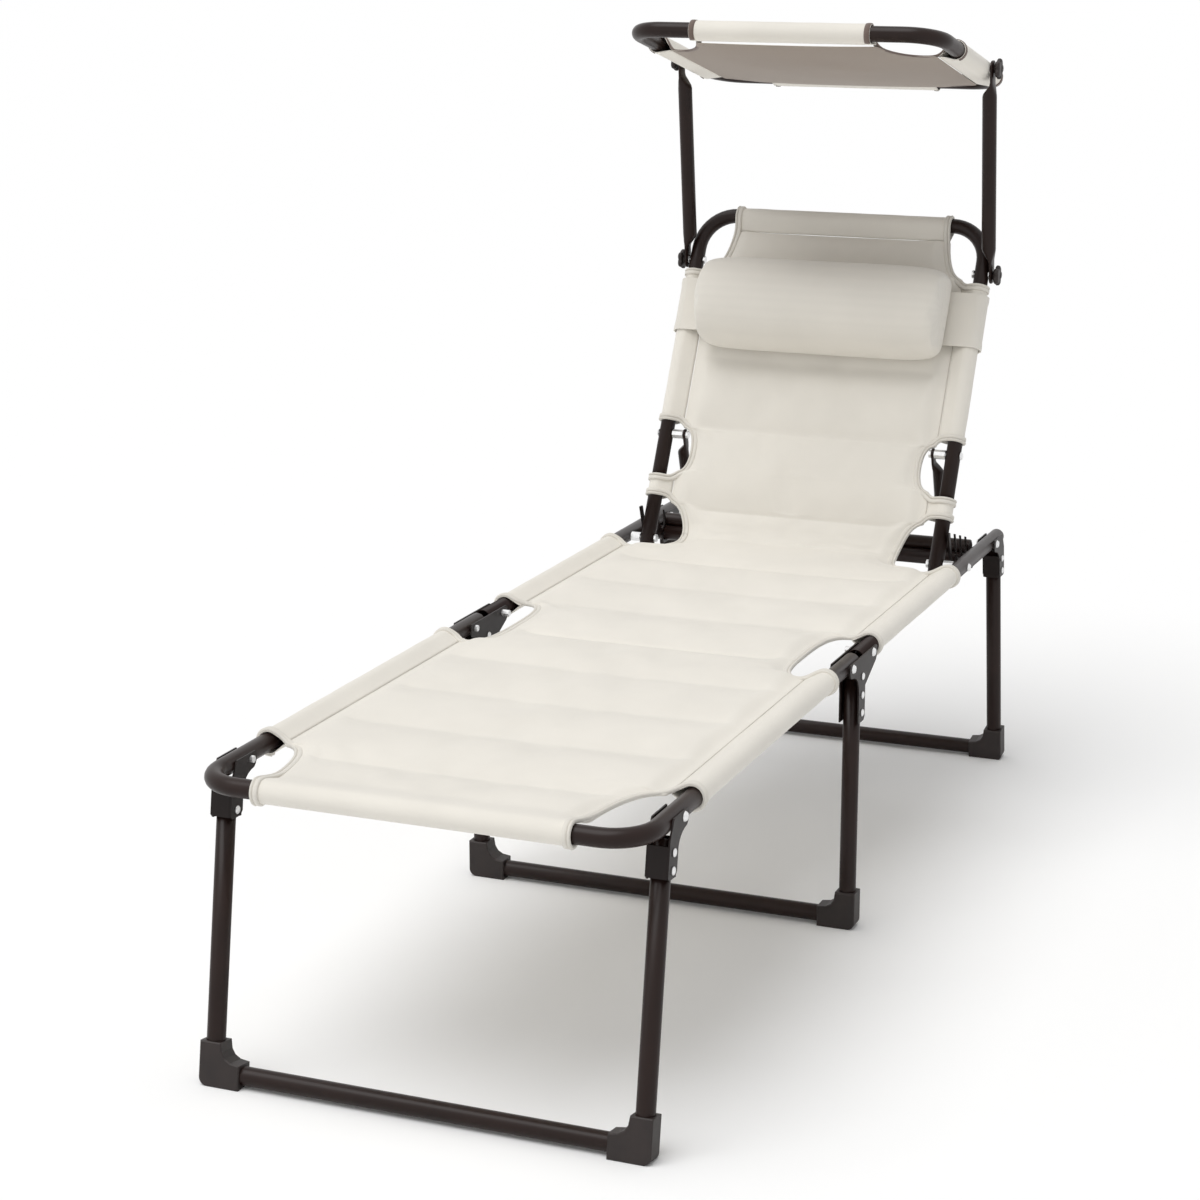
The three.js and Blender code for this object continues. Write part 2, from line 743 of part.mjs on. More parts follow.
function seatFrame() {
  const from = seatPivotPlace - railStub;
  const rail = (x, radius, extra) => tubeAlong(
    new THREE.Vector3(x, from - extra, railHeight),
    new THREE.Vector3(x, seatRailEnd + extra, railHeight),
    radius,
    0,
  );
  const crossHalf = railHalfSpan - crossTubeInset;
  const crossHeight = railHeight - crossTubeDrop;
  const cross = (radius, half) => tubeAlong(
    new THREE.Vector3(-half, crossTubePlace, crossHeight),
    new THREE.Vector3(half, crossTubePlace, crossHeight),
    radius,
    0,
  );
  const foldedTop = railHeight - rearLegSetback + cheekOuter + softGap;
  const copeWidth = railHalfSpan;
  const copeStart = railHalfSpan - cheekOuter - softGap - smallHeadHeight;
  const cope = (side) => block(
    copeWidth, 4 * tubeRadius, 2 * tubeRadius,
    side * (copeStart + copeWidth / 2), crossTubePlace, foldedTop - tubeRadius,
  );
  const rails = [-railHalfSpan, railHalfSpan].map((x) => rail(x, tubeRadius, 0));
  const solid = join([...rails, cross(tubeRadius, crossHalf)]);
  const bore = tubeRadius - tubeWall;
  return carve(solid, [
    cope(-1),
    cope(1),
    rail(-railHalfSpan, bore, overrun),
    rail(railHalfSpan, bore, overrun),
    cross(bore, crossHalf + overrun),
    ...holesThrough([
      [seatPivotPlace, railHeight],
      [backPivotPlace, railHeight],
      [rearPivotPlace, railHeight],
    ], railOuter + overrun),
  ]);
}
addPiece(lounger, 'seat_frame', seatFrame(), tubePaint);

// Domed plugs in the rails' rear ends
function tubePlug() {
  const shank = tubeRadius - tubeWall - plugPlay;
  return new THREE.LatheGeometry([
    new THREE.Vector2(0, -plugDepth),
    new THREE.Vector2(shank, -plugDepth),
    new THREE.Vector2(shank, fitGap),
    new THREE.Vector2(tubeRadius, fitGap),
    new THREE.Vector2(tubeRadius * plugRimShare, plugDome / 2),
    new THREE.Vector2(tubeRadius / 2, plugDome),
    new THREE.Vector2(0, plugDome),
  ], pinSides);
}
sides.forEach(([label, side]) => {
  const x = side * railHalfSpan;
  addPiece(lounger, `rail_plug_${label}`, tubePlug(), blackPlastic, x, seatRailEnd, railHeight);
});

// Rack plates: hooked teeth for the prop bar, an eye round the cross tube and two tabs to the rail
function rackPlate(side) {
  const slot = tubeRadius + rackSlotGap;
  const front = propBar.x - (rackSeats - 1) * rackPitch - slot - rackWall;
  const rear = propBar.x + tubeRadius + rackTailLength;
  const lastTooth = propBar.x - slot;
  const floor = propBar.y - tubeRadius - rackSeatGap;
  const low = railHeight - crossTubeDrop;
  const forward = (rise) => rise * Math.tan(rackLean);
  const from = side > 0 ? rackPlace : -rackPlace - rackThickness;
  const start = from - overrun;
  const end = from + rackThickness + overrun;
  const shape = new THREE.Shape();
  shape.moveTo(front, low);
  shape.lineTo(crossTubePlace - rackSkirt, low);
  shape.lineTo(crossTubePlace - rackSkirt / 2, low - rackSkirt);
  shape.lineTo(rear - rackWall, low - rackSkirt);
  shape.lineTo(rear, low);
  shape.lineTo(rear, floor);
  shape.lineTo(lastTooth, floor);
  shape.lineTo(lastTooth, railHeight);
  shape.lineTo(lastTooth - forward(rackLastToothHeight), railHeight + rackLastToothHeight);
  shape.lineTo(front - forward(rackToothHeight) + rackWall, railHeight + rackToothHeight);
  shape.lineTo(front - forward(rackToothHeight), railHeight + rackToothHeight);
  shape.lineTo(front, railHeight);
  const cutters = [];
  for (let seat = 1; seat < rackSeats; seat += 1) {
    const place = propBar.x - seat * rackPitch;
    const mouth = block(end - start, 2 * slot, 2 * rackToothHeight, (start + end) / 2, 0, rackToothHeight);
    cutters.push(rodAlongX(slot, start, end).translate(0, place, propBar.y + rackSeatRise));
    cutters.push(mouth.rotateX(rackLean).translate(0, place, propBar.y + rackSeatRise));
  }
  cutters.push(boreAlongX(tubeRadius + fitGap, start, end, outerSides).translate(0, crossTubePlace, low));
  const tabEnd = railInner - fitGap;
  const tabReach = tabEnd - rackPlace;
  const tabs = rackTabToothShares.map((tooth) => block(
    tabReach, rackTabLength, rackTabHeight,
    side * (rackPlace + tabReach / 2), propBar.x - tooth * rackPitch, railHeight - slot / 2,
  ));
  const plate = carve(solidFrom(sidePlate(shape, from, rackThickness)), cutters);
  return tabs.map(solidFrom).reduce((whole, tab) => whole.add(tab), plate);
}
sides.forEach(([label, side]) => addPiece(lounger, `rack_${label}`, rackPlate(side), bracketPaint));

// Backrest: an upside-down U of tube on two bolts
function onBack(x, reach, offset) {
  return new THREE.Vector3(
    x,
    backPivotPlace + reach * backDirection.x - offset * backDirection.y,
    railHeight + reach * backDirection.y + offset * backDirection.x,
  );
}
function onShade(x, reach, offset) {
  return new THREE.Vector3(
    x,
    canopyPivot.x + reach * shadeDirection.x + offset * shadeDirection.y,
    canopyPivot.y + reach * shadeDirection.y - offset * shadeDirection.x,
  );
}

const backTube = bentTube([
  onBack(-backHalfSpan, -backTailLength, 0),
  onBack(-backHalfSpan, backLength, 0),
  onBack(backHalfSpan, backLength, 0),
  onBack(backHalfSpan, -backTailLength, 0),
], backBendRadius, tubeRadius, tubeWall);
const backHoles = holesThrough([
  [backPivotPlace, railHeight],
  [propPivot.x, propPivot.y],
  [armPivot.x, armPivot.y],
], backOuter + overrun);
addPiece(lounger, 'backrest_frame', carve(solidFrom(backTube), backHoles), tubePaint);

// Bolts are listed as steps outwards from the middle plane
function domedHead(from) {
  return { from, to: from + rivetHeadHeight, radius: rivetHeadRadius, tip: smallHeadRadius };
}
function backBolt() {
  return pinProfile([
    { from: backInner - fitGap - nutHeight, to: backInner - fitGap, radius: nutRadius },
    { from: backInner - fitGap, to: backOuter + softGap, radius: rivetRadius },
    { from: backOuter + softGap, to: railInner - softGap, radius: spacerRadius },
    { from: railInner - softGap, to: railOuter + softGap, radius: rivetRadius },
    domedHead(railOuter + softGap),
  ]);
}
function propBolt() {
  const plateInner = propPlatePlace - propPlateHalfThickness;
  const plateOuter = propPlatePlace + propPlateHalfThickness;
  return pinProfile([
    { from: plateInner - softGap - nutHeight, to: plateInner - softGap, radius: nutRadius },
    { from: plateInner - softGap, to: plateOuter + softGap, radius: rivetRadius },
    { from: plateOuter + softGap, to: backInner - softGap, radius: spacerRadius },
    { from: backInner - softGap, to: backOuter + softGap, radius: rivetRadius },
    domedHead(backOuter + softGap),
  ]);
}
function armBolt() {
  const knobFace = armPlatePlace + armPlateHalfThickness + softGap;
  return pinProfile([
    { from: backInner - fitGap - rivetHeadHeight, to: backInner - fitGap, radius: rivetHeadRadius },
    { from: backInner - fitGap, to: backOuter + softGap, radius: rivetRadius },
    { from: backOuter + softGap, to: backOuter + softGap + washerThickness, radius: spacerRadius },
    { from: backOuter + softGap + washerThickness, to: knobFace + boltReach, radius: rivetRadius },
  ]);
}

// Star knob, drawn facing +Z and then turned outwards
function starKnob(side) {
  const outline = Array.from({ length: knobLobes * knobLobeSteps }, (_, i) => {
    const angle = (i * 2 * Math.PI) / (knobLobes * knobLobeSteps);
    const radius = knobRadius - knobBevel + knobLobeDepth * Math.cos(knobLobes * angle);
    return new THREE.Vector2(radius * Math.cos(angle), radius * Math.sin(angle));
  });
  const body = new THREE.ExtrudeGeometry(new THREE.Shape(outline), {
    depth: knobThickness - 2 * knobBevel,
    bevelThickness: knobBevel,
    bevelSize: knobBevel,
    bevelSegments: 1,
  });
  body.translate(0, 0, knobHubLength + knobBevel).rotateY((side * Math.PI) / 2);
  const hub = rodAlongX(knobHubRadius, 0, knobHubLength + knobBevel);
  const bore = boreAlongX(rivetRadius + pivotGap, -overrun, knobBoreDepth);
  if (side < 0) {
    hub.rotateY(Math.PI);
    bore.rotateY(Math.PI);
  }
  return carve(join([body, hub]), [bore]);
}

sides.forEach(([label, side]) => {
  const place = (name, shape, material, y, z, x = 0) => (
    addPiece(lounger, `${name}_${label}`, shape, material, x, y, z)
  );
  const knobPlace = side * (armPlatePlace + armPlateHalfThickness + softGap);
  const plug = tubePlug().rotateX(backAngle + Math.PI);
  const tail = onBack(side * backHalfSpan, -backTailLength, 0);
  place('backrest_plug', plug, blackPlastic, tail.y, tail.z, tail.x);
  place('backrest_bolt', across(backBolt(), side), zincSteel, backPivotPlace, railHeight);
  place('prop_bolt', across(propBolt(), side), zincSteel, propPivot.x, propPivot.y);
  place('arm_bolt', across(armBolt(), side), zincSteel, armPivot.x, armPivot.y);
  place('canopy_bolt', across(armBolt(), side), zincSteel, canopyPivot.x, canopyPivot.y);
  place('arm_knob', starKnob(side), blackPlastic, armPivot.x, armPivot.y, knobPlace);
  place('canopy_knob', starKnob(side), blackPlastic, canopyPivot.x, canopyPivot.y, knobPlace);
});

// A bar with pressed ends: rings of a rounded section along its length
function pressedBar(stations) {
  const rings = stations.map(({ at, place, halfThickness, halfWidth, corner = 1 }) => (
    ringPoints(1, outerSides).map(({ x, y }) => new THREE.Vector3(
      place + halfThickness * Math.sign(x) * Math.abs(x) ** corner,
      halfWidth * Math.sign(y) * Math.abs(y) ** corner,
      at,
    ))
  ));
  return loft(rings);
}

// Canopy arms: round tubes with necks pressed flat round each pivot
function armStations(side) {
  const plate = { place: side * armPlatePlace, halfThickness: armPlateHalfThickness, corner: plateCorner };
  const body = { place: side * armBodyPlace, halfThickness: armRadius, halfWidth: armRadius };
  const tip = { ...plate, halfWidth: armPlateHalfWidth * plateTipShare };
  const flat = { ...plate, halfWidth: armPlateHalfWidth };
  return [
    { ...tip, at: -armPlateHalfWidth },
    { ...flat, at: -armPlateHalfWidth / 2 },
    { ...flat, at: armNeck },
    { ...body, at: armNeck + armShoulder },
    { ...body, at: armLength - armNeck - armShoulder },
    { ...flat, at: armLength - armNeck },
    { ...flat, at: armLength + armPlateHalfWidth / 2 },
    { ...tip, at: armLength + armPlateHalfWidth },
  ];
}
const armGroup = subGroup(armPivot.x, armPivot.y, armAngle - Math.PI / 2);
sides.forEach(([label, side]) => {
  const bodyStart = armNeck + armShoulder;
  const bore = new THREE.ExtrudeGeometry(new THREE.Shape(ringPoints(armRadius - armWall, pinSides)), {
    depth: armLength - 2 * bodyStart,
    bevelEnabled: false,
  });
  bore.translate(side * armBodyPlace, 0, bodyStart);
  const vent = rodAlongX(armVentRadius, -armRadius - overrun, 0, boreSides);
  vent.translate(armBodyPlace, 0, bodyStart + armShoulder);
  if (side < 0) {
    vent.rotateZ(Math.PI);
  }
  const pivotBore = () => boreAlongX(rivetRadius + pivotGap, -railOuter, railOuter);
  const cutters = [bore, vent, pivotBore(), pivotBore().translate(0, 0, armLength)];
  const arm = solidFrom(pressedBar(armStations(side)));
  addPiece(armGroup, `canopy_arm_${label}`, carve(arm, cutters), tubePaint);
});

// Prop: two arms with pressed ends on a long bar that drops into the rack
function propFrame() {
  const arms = sides.map(([, side]) => {
    const body = { place: side * propArmPlace, halfThickness: propArmRadius, halfWidth: propArmRadius };
    const plate = {
      place: side * propPlatePlace,
      halfThickness: propPlateHalfThickness,
      halfWidth: propPlateHalfWidth,
      corner: plateCorner,
    };
    return pressedBar([
      { ...body, at: 0 },
      { ...body, at: propLength - propPlateLength - propNeckLength },
      { ...plate, at: propLength - propPlateLength },
      { ...plate, at: propLength + propPlateHalfWidth / 2 },
      { ...plate, at: propLength + propPlateHalfWidth, halfWidth: propPlateHalfWidth * plateTipShare },
    ]);
  });
  const bar = rodAlongX(tubeRadius, -propBarHalf, propBarHalf, outerSides);
  const bore = rodAlongX(tubeRadius - tubeWall, -propBarHalf - overrun, propBarHalf + overrun, boreSides);
  const hole = boreAlongX(rivetRadius + pivotGap, -propBarHalf, propBarHalf).translate(0, 0, propLength);
  return carve(join([bar, ...arms]), [bore, hole]);
}
const propGroup = subGroup(propBar.x, propBar.y, propAngle + Math.PI / 2);
addPiece(propGroup, 'prop_frame', propFrame(), tubePaint);
sides.forEach(([label, side]) => {
  addPiece(propGroup, `prop_plug_${label}`, across(tubePlug(), side), blackPlastic, side * propBarHalf);
});

// Canopy hoop: one tube bent round to meet itself at the middle of the rear side
const hoopTube = bentTube([
  onShade(hoopSeam / 2, -canopyRearReach, 0),
  onShade(backHalfSpan, -canopyRearReach, 0),
  onShade(backHalfSpan, canopyFrontReach, 0),
  onShade(-backHalfSpan, canopyFrontReach, 0),
  onShade(-backHalfSpan, -canopyRearReach, 0),
  onShade(-hoopSeam / 2, -canopyRearReach, 0),
], canopyBendRadius, tubeRadius, tubeWall);
const hoopHole = holesThrough([[canopyPivot.x, canopyPivot.y]], backOuter + overrun);
addPiece(lounger, 'canopy_hoop', carve(solidFrom(hoopTube), hoopHole), tubePaint);

// Sleeves are short tubes of cloth round a straight run of frame tube
function sleeve(from, to, wall) {
  return tubeAlong(from, to, tubeRadius + softGap + wall, 0);
}
function clearance(from, to) {
  return tubeAlong(from, to, boreRadius(tubeRadius + softGap, outerSides), 0);
}

// Share of the way across a notch corner for a share of the way along it
function shareAt(table, along) {
  const next = table.findIndex(([place]) => place >= along);
  if (next < 1) {
    return next === 0 ? table[0][1] : table.at(-1)[1];
  }
  const [[fromPlace, fromShare], [toPlace, toShare]] = [table[next - 1], table[next]];
  return fromShare + ((toShare - fromShare) * (along - fromPlace)) / (toPlace - fromPlace);
}
function notchWidth(along, middle, half, waist, edge) {
  const share = Math.min(Math.abs((along - middle) / half), 1);
  return waist + (edge - waist) * share ** notchCurve;
}

// Pad panels: rows across the bed, each with its half width, its place and the direction through the pad
function padRows(stops, halfWidth, surface) {
  return stops.map((stop) => {
    const half = halfWidth(stop);
    const { point, inward, rise, thickness } = surface(stop);
    const row = { top: [], bottom: [] };
    for (let i = 0; i <= padColumns; i += 1) {
      const share = Math.sin(((i / padColumns) - 0.5) * Math.PI);
      const soft = 1 - share ** padEdgePower;
      const top = point.clone().setX(half * share).addScaledVector(inward, -rise * soft);
      row.top.push(top);
      row.bottom.push(top.clone().addScaledVector(inward, hemThickness + (thickness - hemThickness) * soft));
    }
    return row;
  });
}
function stopsBetween(from, to, count, extra = []) {
  const even = Array.from({ length: count + 1 }, (_, i) => from + ((to - from) * i) / count);
  const free = extra.filter((place) => place > from && place < to);
  const apart = (place) => free.every((other) => Math.abs(other - place) > padRowSpacing);
  return [...even.filter(apart), ...free, from, to]
    .filter((place, i, all) => all.indexOf(place) === i)
    .sort((a, b) => a - b);
}
const down = new THREE.Vector3(0, 0, -1);
const bedSurface = (place) => ({
  point: new THREE.Vector3(0, place, railHeight + slingRadius),
  inward: down,
  rise: padRise * Math.abs(Math.sin(((place - seamPlace) / seamSpacing) * Math.PI)),
  thickness: padThickness,
});
const backInward = new THREE.Vector3(0, backDirection.y, -backDirection.x);
const backSeams = backSeamShares.map((share) => share * backLength);
const backSurface = (reach) => {
  const next = backSeams.findIndex((place) => place > reach);
  const before = next > 0 ? backSeams[next - 1] : backSeams[0] - seamSpacing;
  return {
    point: onBack(0, reach, slingRadius),
    inward: backInward,
    rise: padRise * Math.abs(Math.sin(((reach - before) / (backSeams[next] - before)) * Math.PI)),
    thickness: padThickness,
  };
};

const onBed = (x, y) => new THREE.Vector3(x, y, railHeight);
const bothSides = (run) => sides.map(([, side]) => run(side));
const bedSeams = Array.from({ length: bedSeamCount }, (_, i) => (
  seamPlace + (i - bedSeamsAhead) * seamSpacing
));

function addSling(name, rows, sleeves, tubes) {
  addPiece(lounger, name, carve(join([padSkin(rows), ...sleeves]), tubes), slingFabric);
}

// Foot sling: front sleeve round the foot tube, side sleeves on the rails
const hingeStart = hingeNotchMiddle - hingeNotchHalf;
const hingeEnd = hingeNotchMiddle + hingeNotchHalf;
const bedTubes = (from, to) => bothSides((side) => clearance(
  onBed(side * railHalfSpan, from),
  onBed(side * railHalfSpan, to),
));
const footWidth = (place) => {
  const along = (place - frontTubePlace) / frontNotchLength;
  return frontSleeveHalf + (railHalfSpan - frontSleeveHalf) * shareAt(cornerShares, Math.min(along, 1));
};
const notchStops = cornerShares.map(([share]) => frontTubePlace + share * frontNotchLength);
const footStops = stopsBetween(
  frontTubePlace,
  hingeStart - softGap,
  footRowCount,
  [...notchStops.slice(1), ...bedSeams],
);
addSling(
  'sling_foot',
  padRows(footStops, footWidth, bedSurface),
  [
    sleeve(onBed(-frontSleeveHalf, frontTubePlace), onBed(frontSleeveHalf, frontTubePlace), slingWall),
    ...bothSides((side) => sleeve(
      onBed(side * railHalfSpan, footSleeveStart),
      onBed(side * railHalfSpan, footSleeveEnd),
      slingWall,
    )),
  ],
  [
    clearance(onBed(-railHalfSpan, frontTubePlace), onBed(railHalfSpan, frontTubePlace)),
    ...bedTubes(frontTubePlace, 0),
  ],
);

// Hinge sling: narrow at the middle leg
const hingeWidth = (place) => notchWidth(
  place,
  hingeNotchMiddle,
  hingeNotchHalf,
  railHalfSpan - hingeNotchDepth,
  railInner - fitGap,
);
const hingeStops = stopsBetween(hingeStart, hingeEnd, hingeRowCount, bedSeams);
addSling('sling_hinge', padRows(hingeStops, hingeWidth, bedSurface), [], []);

// Seat sling
const seatWidth = () => railHalfSpan;
const seatStops = stopsBetween(hingeEnd + softGap, bendNotchStart - softGap, seatRowCount, bedSeams);
addSling(
  'sling_seat',
  padRows(seatStops, seatWidth, bedSurface),
  bothSides((side) => sleeve(
    onBed(side * railHalfSpan, seatSleeveStart),
    onBed(side * railHalfSpan, seatSleeveEnd),
    slingWall,
  )),
  bedTubes(0, seatRailEnd),
);

// Bend sling: the fold between seat and backrest; stops run along the surface from the crease
const bendFrom = bendNotchStart - bendCreasePlace;
const bendTo = backBandStart - softGap - bendCreaseReach;
const bendMiddle = (bendFrom + bendTo) / 2;
const bendWidth = (stop) => notchWidth(
  stop,
  bendMiddle,
  (bendTo - bendFrom) / 2,
  backHalfSpan - bendNotchDepth,
  (stop < 0 ? railInner : backInner) - softGap,
);
const bendSurface = (stop) => {
  const turn = THREE.MathUtils.smoothstep(stop, -padThickness, padThickness);
  const onSeat = bedSurface(bendCreasePlace + stop);
  const onRest = backSurface(bendCreaseReach + stop);
  const base = stop < 0 ? onSeat : onRest;
  const inward = down.clone().multiplyScalar(1 - turn).addScaledVector(backInward, turn).normalize();
  return { ...base, inward };
};
const bendStops = stopsBetween(bendFrom, bendTo, bendRowCount, [0]);
addSling('sling_bend', padRows(bendStops, bendWidth, bendSurface), [], []);

// Backrest sling: side bands, a notch at the prop, side sleeves, a sleeve over the top
const backWidth = (reach) => {
  if (reach > backSleeveEnd) {
    const along = (backLength - reach) / (backLength - backSleeveEnd);
    return topSleeveHalf + (backHalfSpan - topSleeveHalf) * shareAt(cornerShares, along);
  }
  const middle = (backBandEnd + backSleeveStart) / 2;
  const half = (backSleeveStart - backBandEnd) / 2;
  return notchWidth(reach, middle, half, backHalfSpan - propNotchDepth, backHalfSpan);
};
const topNotchStops = cornerShares.map(([share]) => backLength - share * topNotchLength);
const backStops = stopsBetween(
  backBandStart,
  backLength,
  backRowCount,
  [backBandEnd, backSleeveStart, ...topNotchStops.slice(1), ...backSeams],
);
const backSleeve = (side, from, to) => sleeve(
  onBack(side * backHalfSpan, from, 0),
  onBack(side * backHalfSpan, to, 0),
  slingWall,
);
addSling(
  'sling_back',
  padRows(backStops, backWidth, backSurface),
  [
    ...bothSides((side) => backSleeve(side, backBandStart, backBandEnd)),
    ...bothSides((side) => backSleeve(side, backSleeveStart, backSleeveEnd)),
    sleeve(onBack(-topSleeveHalf, backLength, 0), onBack(topSleeveHalf, backLength, 0), slingWall),
  ],
  [
    ...bothSides((side) => clearance(
      onBack(side * backHalfSpan, 0, 0),
      onBack(side * backHalfSpan, backLength, 0),
    )),
    clearance(onBack(-backHalfSpan, backLength, 0), onBack(backHalfSpan, backLength, 0)),
    ...bothSides((side) => {
      const half = propPlateHalfThickness + softGap;
      const room = boreAlongX(propPlateHalfWidth + propPlateRoom, -half, half, outerSides);
      return room.translate(side * propPlatePlace, propPivot.x, propPivot.y);
    }),
  ],
);

// Strap: a flat band round the backrest, its edges running along the tubes
function stadium(radius) {
  const half = backHalfSpan;
  const arc = (centre, from) => Array.from({ length: bendSteps + 1 }, (_, i) => {
    const angle = from + (i * Math.PI) / bendSteps;
    return new THREE.Vector2(centre + radius * Math.cos(angle), radius * Math.sin(angle));
  });
  return [...arc(half, -Math.PI / 2), ...arc(-half, Math.PI / 2)];
}
const backGroup = subGroup(backPivotPlace, railHeight, backTilt);
const strapShape = new THREE.Shape(stadium(strapInnerRadius + strapThickness));
strapShape.holes.push(new THREE.Path(stadium(strapInnerRadius)));
const strap = new THREE.ExtrudeGeometry(strapShape, { depth: 2 * strapHalfWidth, bevelEnabled: false });
addPiece(backGroup, 'roll_strap', strap, rollFabric, 0, 0, rollReach - strapHalfWidth);

// Head roll: a foam half-round with its flat side on the strap, nearly flat at both ends
function headRoll() {
  const rollHalfLength = backHalfSpan - rollInset;
  const rings = Array.from({ length: rollRings + 1 }, (_, i) => {
    const share = -Math.cos((i * Math.PI) / rollRings);
    const swell = Math.max((1 - Math.abs(share) ** rollEndPower) ** (1 / rollEndPower), rollTipShare);
    return Array.from({ length: rollSides + 1 }, (_point, j) => {
      const angle = (j * Math.PI) / rollSides;
      return new THREE.Vector3(
        share * rollHalfLength,
        -rollDepth * swell * Math.abs(Math.sin(angle)) ** rollCrownPower,
        rollHalfHeight * swell * Math.cos(angle),
      );
    });
  });
  return loft(rings);
}
const rollOffset = strapInnerRadius + strapThickness + softGap;
addPiece(backGroup, 'head_roll', headRoll(), rollFabric, 0, -rollOffset, rollReach);

// Sunshade cloth: a thin sagging panel under the hoop with sleeves round its four sides
const shadeFrom = canopyFrontReach;
const shadeTo = -canopyRearReach;
const shadeLength = shadeFrom - shadeTo;
const shadeWidth = (along) => {
  const edge = Math.min(along, shadeLength - along);
  const end = along < shadeLength / 2 ? clothSideSleeveStart : shadeLength - clothSideSleeveEnd;
  const half = clothSleeveHalf;
  return half + (backHalfSpan - half) * shareAt(cornerShares, Math.min(edge / end, 1));
};
const shadeRadius = tubeRadius + softGap + clothThickness;
const shadeInward = onShade(0, 0, 1).sub(onShade(0, 0, 0));
function shadeRows() {
  const stops = stopsBetween(0, shadeLength, shadeRowCount, [clothSideSleeveStart, clothSideSleeveEnd]);
  return stops.map((along) => {
    const half = shadeWidth(along);
    const row = { top: [], bottom: [] };
    for (let i = 0; i <= padColumns; i += 1) {
      const share = (2 * i) / padColumns - 1;
      const sag = clothSag * (1 - share ** 2) * Math.sin((along / shadeLength) * Math.PI);
      const low = onShade(half * share, shadeFrom - along, -shadeRadius - sag);
      row.bottom.push(low);
      row.top.push(low.clone().addScaledVector(shadeInward, clothThickness));
    }
    return row;
  });
}
const shadeSleeve = (from, to) => sleeve(from, to, clothThickness);
const shadeSides = bothSides((side) => [
  onShade(side * backHalfSpan, shadeFrom - clothSideSleeveStart, 0),
  onShade(side * backHalfSpan, shadeFrom - clothSideSleeveEnd, 0),
]);
const shadeEnds = [shadeFrom, shadeTo].map((reach) => [
  onShade(-clothSleeveHalf, reach, 0),
  onShade(clothSleeveHalf, reach, 0),
]);
const stretched = ([from, to]) => {
  const reach = to.clone().sub(from).normalize().multiplyScalar(shadeRadius);
  return clearance(from.clone().sub(reach), to.clone().add(reach));
};
const shadeRuns = [...shadeSides, ...shadeEnds];
const cloth = join([padSkin(shadeRows()), ...shadeRuns.map(([from, to]) => shadeSleeve(from, to))]);
const eyelets = boreAlongX(eyeletRadius, -railOuter, railOuter).translate(0, canopyPivot.x, canopyPivot.y);
addPiece(lounger, 'canopy_cloth', carve(cloth, [...shadeRuns.map(stretched), eyelets]), shadeCloth);

export default lounger;
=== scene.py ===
# Folding padded sun lounger with a head roll and a tilting sunshade.
# The pieces follow in the order in which such a lounger is put together; metres, +Z up, +Y to the head end.
import math

import bmesh
import bpy
from mathutils import Matrix, Vector, noise


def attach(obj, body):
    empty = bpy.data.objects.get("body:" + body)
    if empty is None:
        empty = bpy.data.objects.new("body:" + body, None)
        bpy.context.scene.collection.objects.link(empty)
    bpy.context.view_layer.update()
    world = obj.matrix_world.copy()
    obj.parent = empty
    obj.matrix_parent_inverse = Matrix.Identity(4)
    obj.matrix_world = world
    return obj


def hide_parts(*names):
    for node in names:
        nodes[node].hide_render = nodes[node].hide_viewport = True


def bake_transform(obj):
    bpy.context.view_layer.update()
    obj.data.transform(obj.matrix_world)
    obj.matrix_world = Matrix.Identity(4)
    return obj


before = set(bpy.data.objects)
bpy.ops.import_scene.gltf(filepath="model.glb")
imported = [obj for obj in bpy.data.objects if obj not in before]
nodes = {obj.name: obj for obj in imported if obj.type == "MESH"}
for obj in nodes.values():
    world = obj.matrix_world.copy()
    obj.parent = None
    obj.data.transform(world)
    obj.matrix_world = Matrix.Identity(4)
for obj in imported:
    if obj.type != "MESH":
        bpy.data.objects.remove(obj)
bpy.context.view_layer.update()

# Frame tubes. Round steel tube, 25 mm across, cold bent and painted a dark brown powder coat.
# The rails, the three legs, the foot frame, the backrest and the sunshade hoop are all made of it.
ORIGIN_SHIFT = -0.0500858
TUBE_RADIUS = 0.0125
TUBE_WALL = 0.0012
TUBE_SIDES = 32
BEND_STEP = 0.14
RAIL_X = 0.2975
RAIL_Z = 0.412


def feed(node, inputs):
    """Set a shader node's inputs; each gets a value, or the socket that drives it."""
    for key, value in inputs.items():
        if isinstance(value, bpy.types.NodeSocket):
            node.id_data.links.new(value, node.inputs[key])
        else:
            node.inputs[key].default_value = value


def add_node(tree, kind, inputs, **settings):
    node = tree.nodes.new(kind)
    for key, value in settings.items():
        setattr(node, key, value)
    feed(node, inputs)
    return node


def add_noise(tree, place, scale, detail):
    inputs = {"Vector": place, "Scale": scale, "Detail": detail}
    return add_node(tree, "ShaderNodeTexNoise", inputs).outputs["Fac"]


def add_ramp(tree, factor, low, high):
    """A colour ramp; low and high are each a position and a colour."""
    ramp = add_node(tree, "ShaderNodeValToRGB", {"Fac": factor})
    for element, (position, colour) in zip(ramp.color_ramp.elements, (low, high)):
        element.position = position
        element.color = (*colour, 1)
    return ramp.outputs["Color"]


def add_gloss(tree, factor, low, high):
    """Roughness from low to high."""
    inputs = {"Value": factor, "To Min": low, "To Max": high}
    return add_node(tree, "ShaderNodeMapRange", inputs).outputs["Result"]


def add_bump(tree, height, strength, distance, **under):
    inputs = {"Height": height, "Strength": strength, "Distance": distance, **under}
    return add_node(tree, "ShaderNodeBump", inputs).outputs["Normal"]


def new_material(name):
    """A material with its node tree, its shader and the place that its textures are laid by."""
    material = bpy.data.materials.new(name)
    material.use_nodes = True
    tree = material.node_tree
    place = tree.nodes.new("ShaderNodeTexCoord").outputs["Object"]
    return material, tree, tree.nodes["Principled BSDF"], place


def toned(colour, factor):
    return tuple(min(c * factor, 1.0) for c in colour)


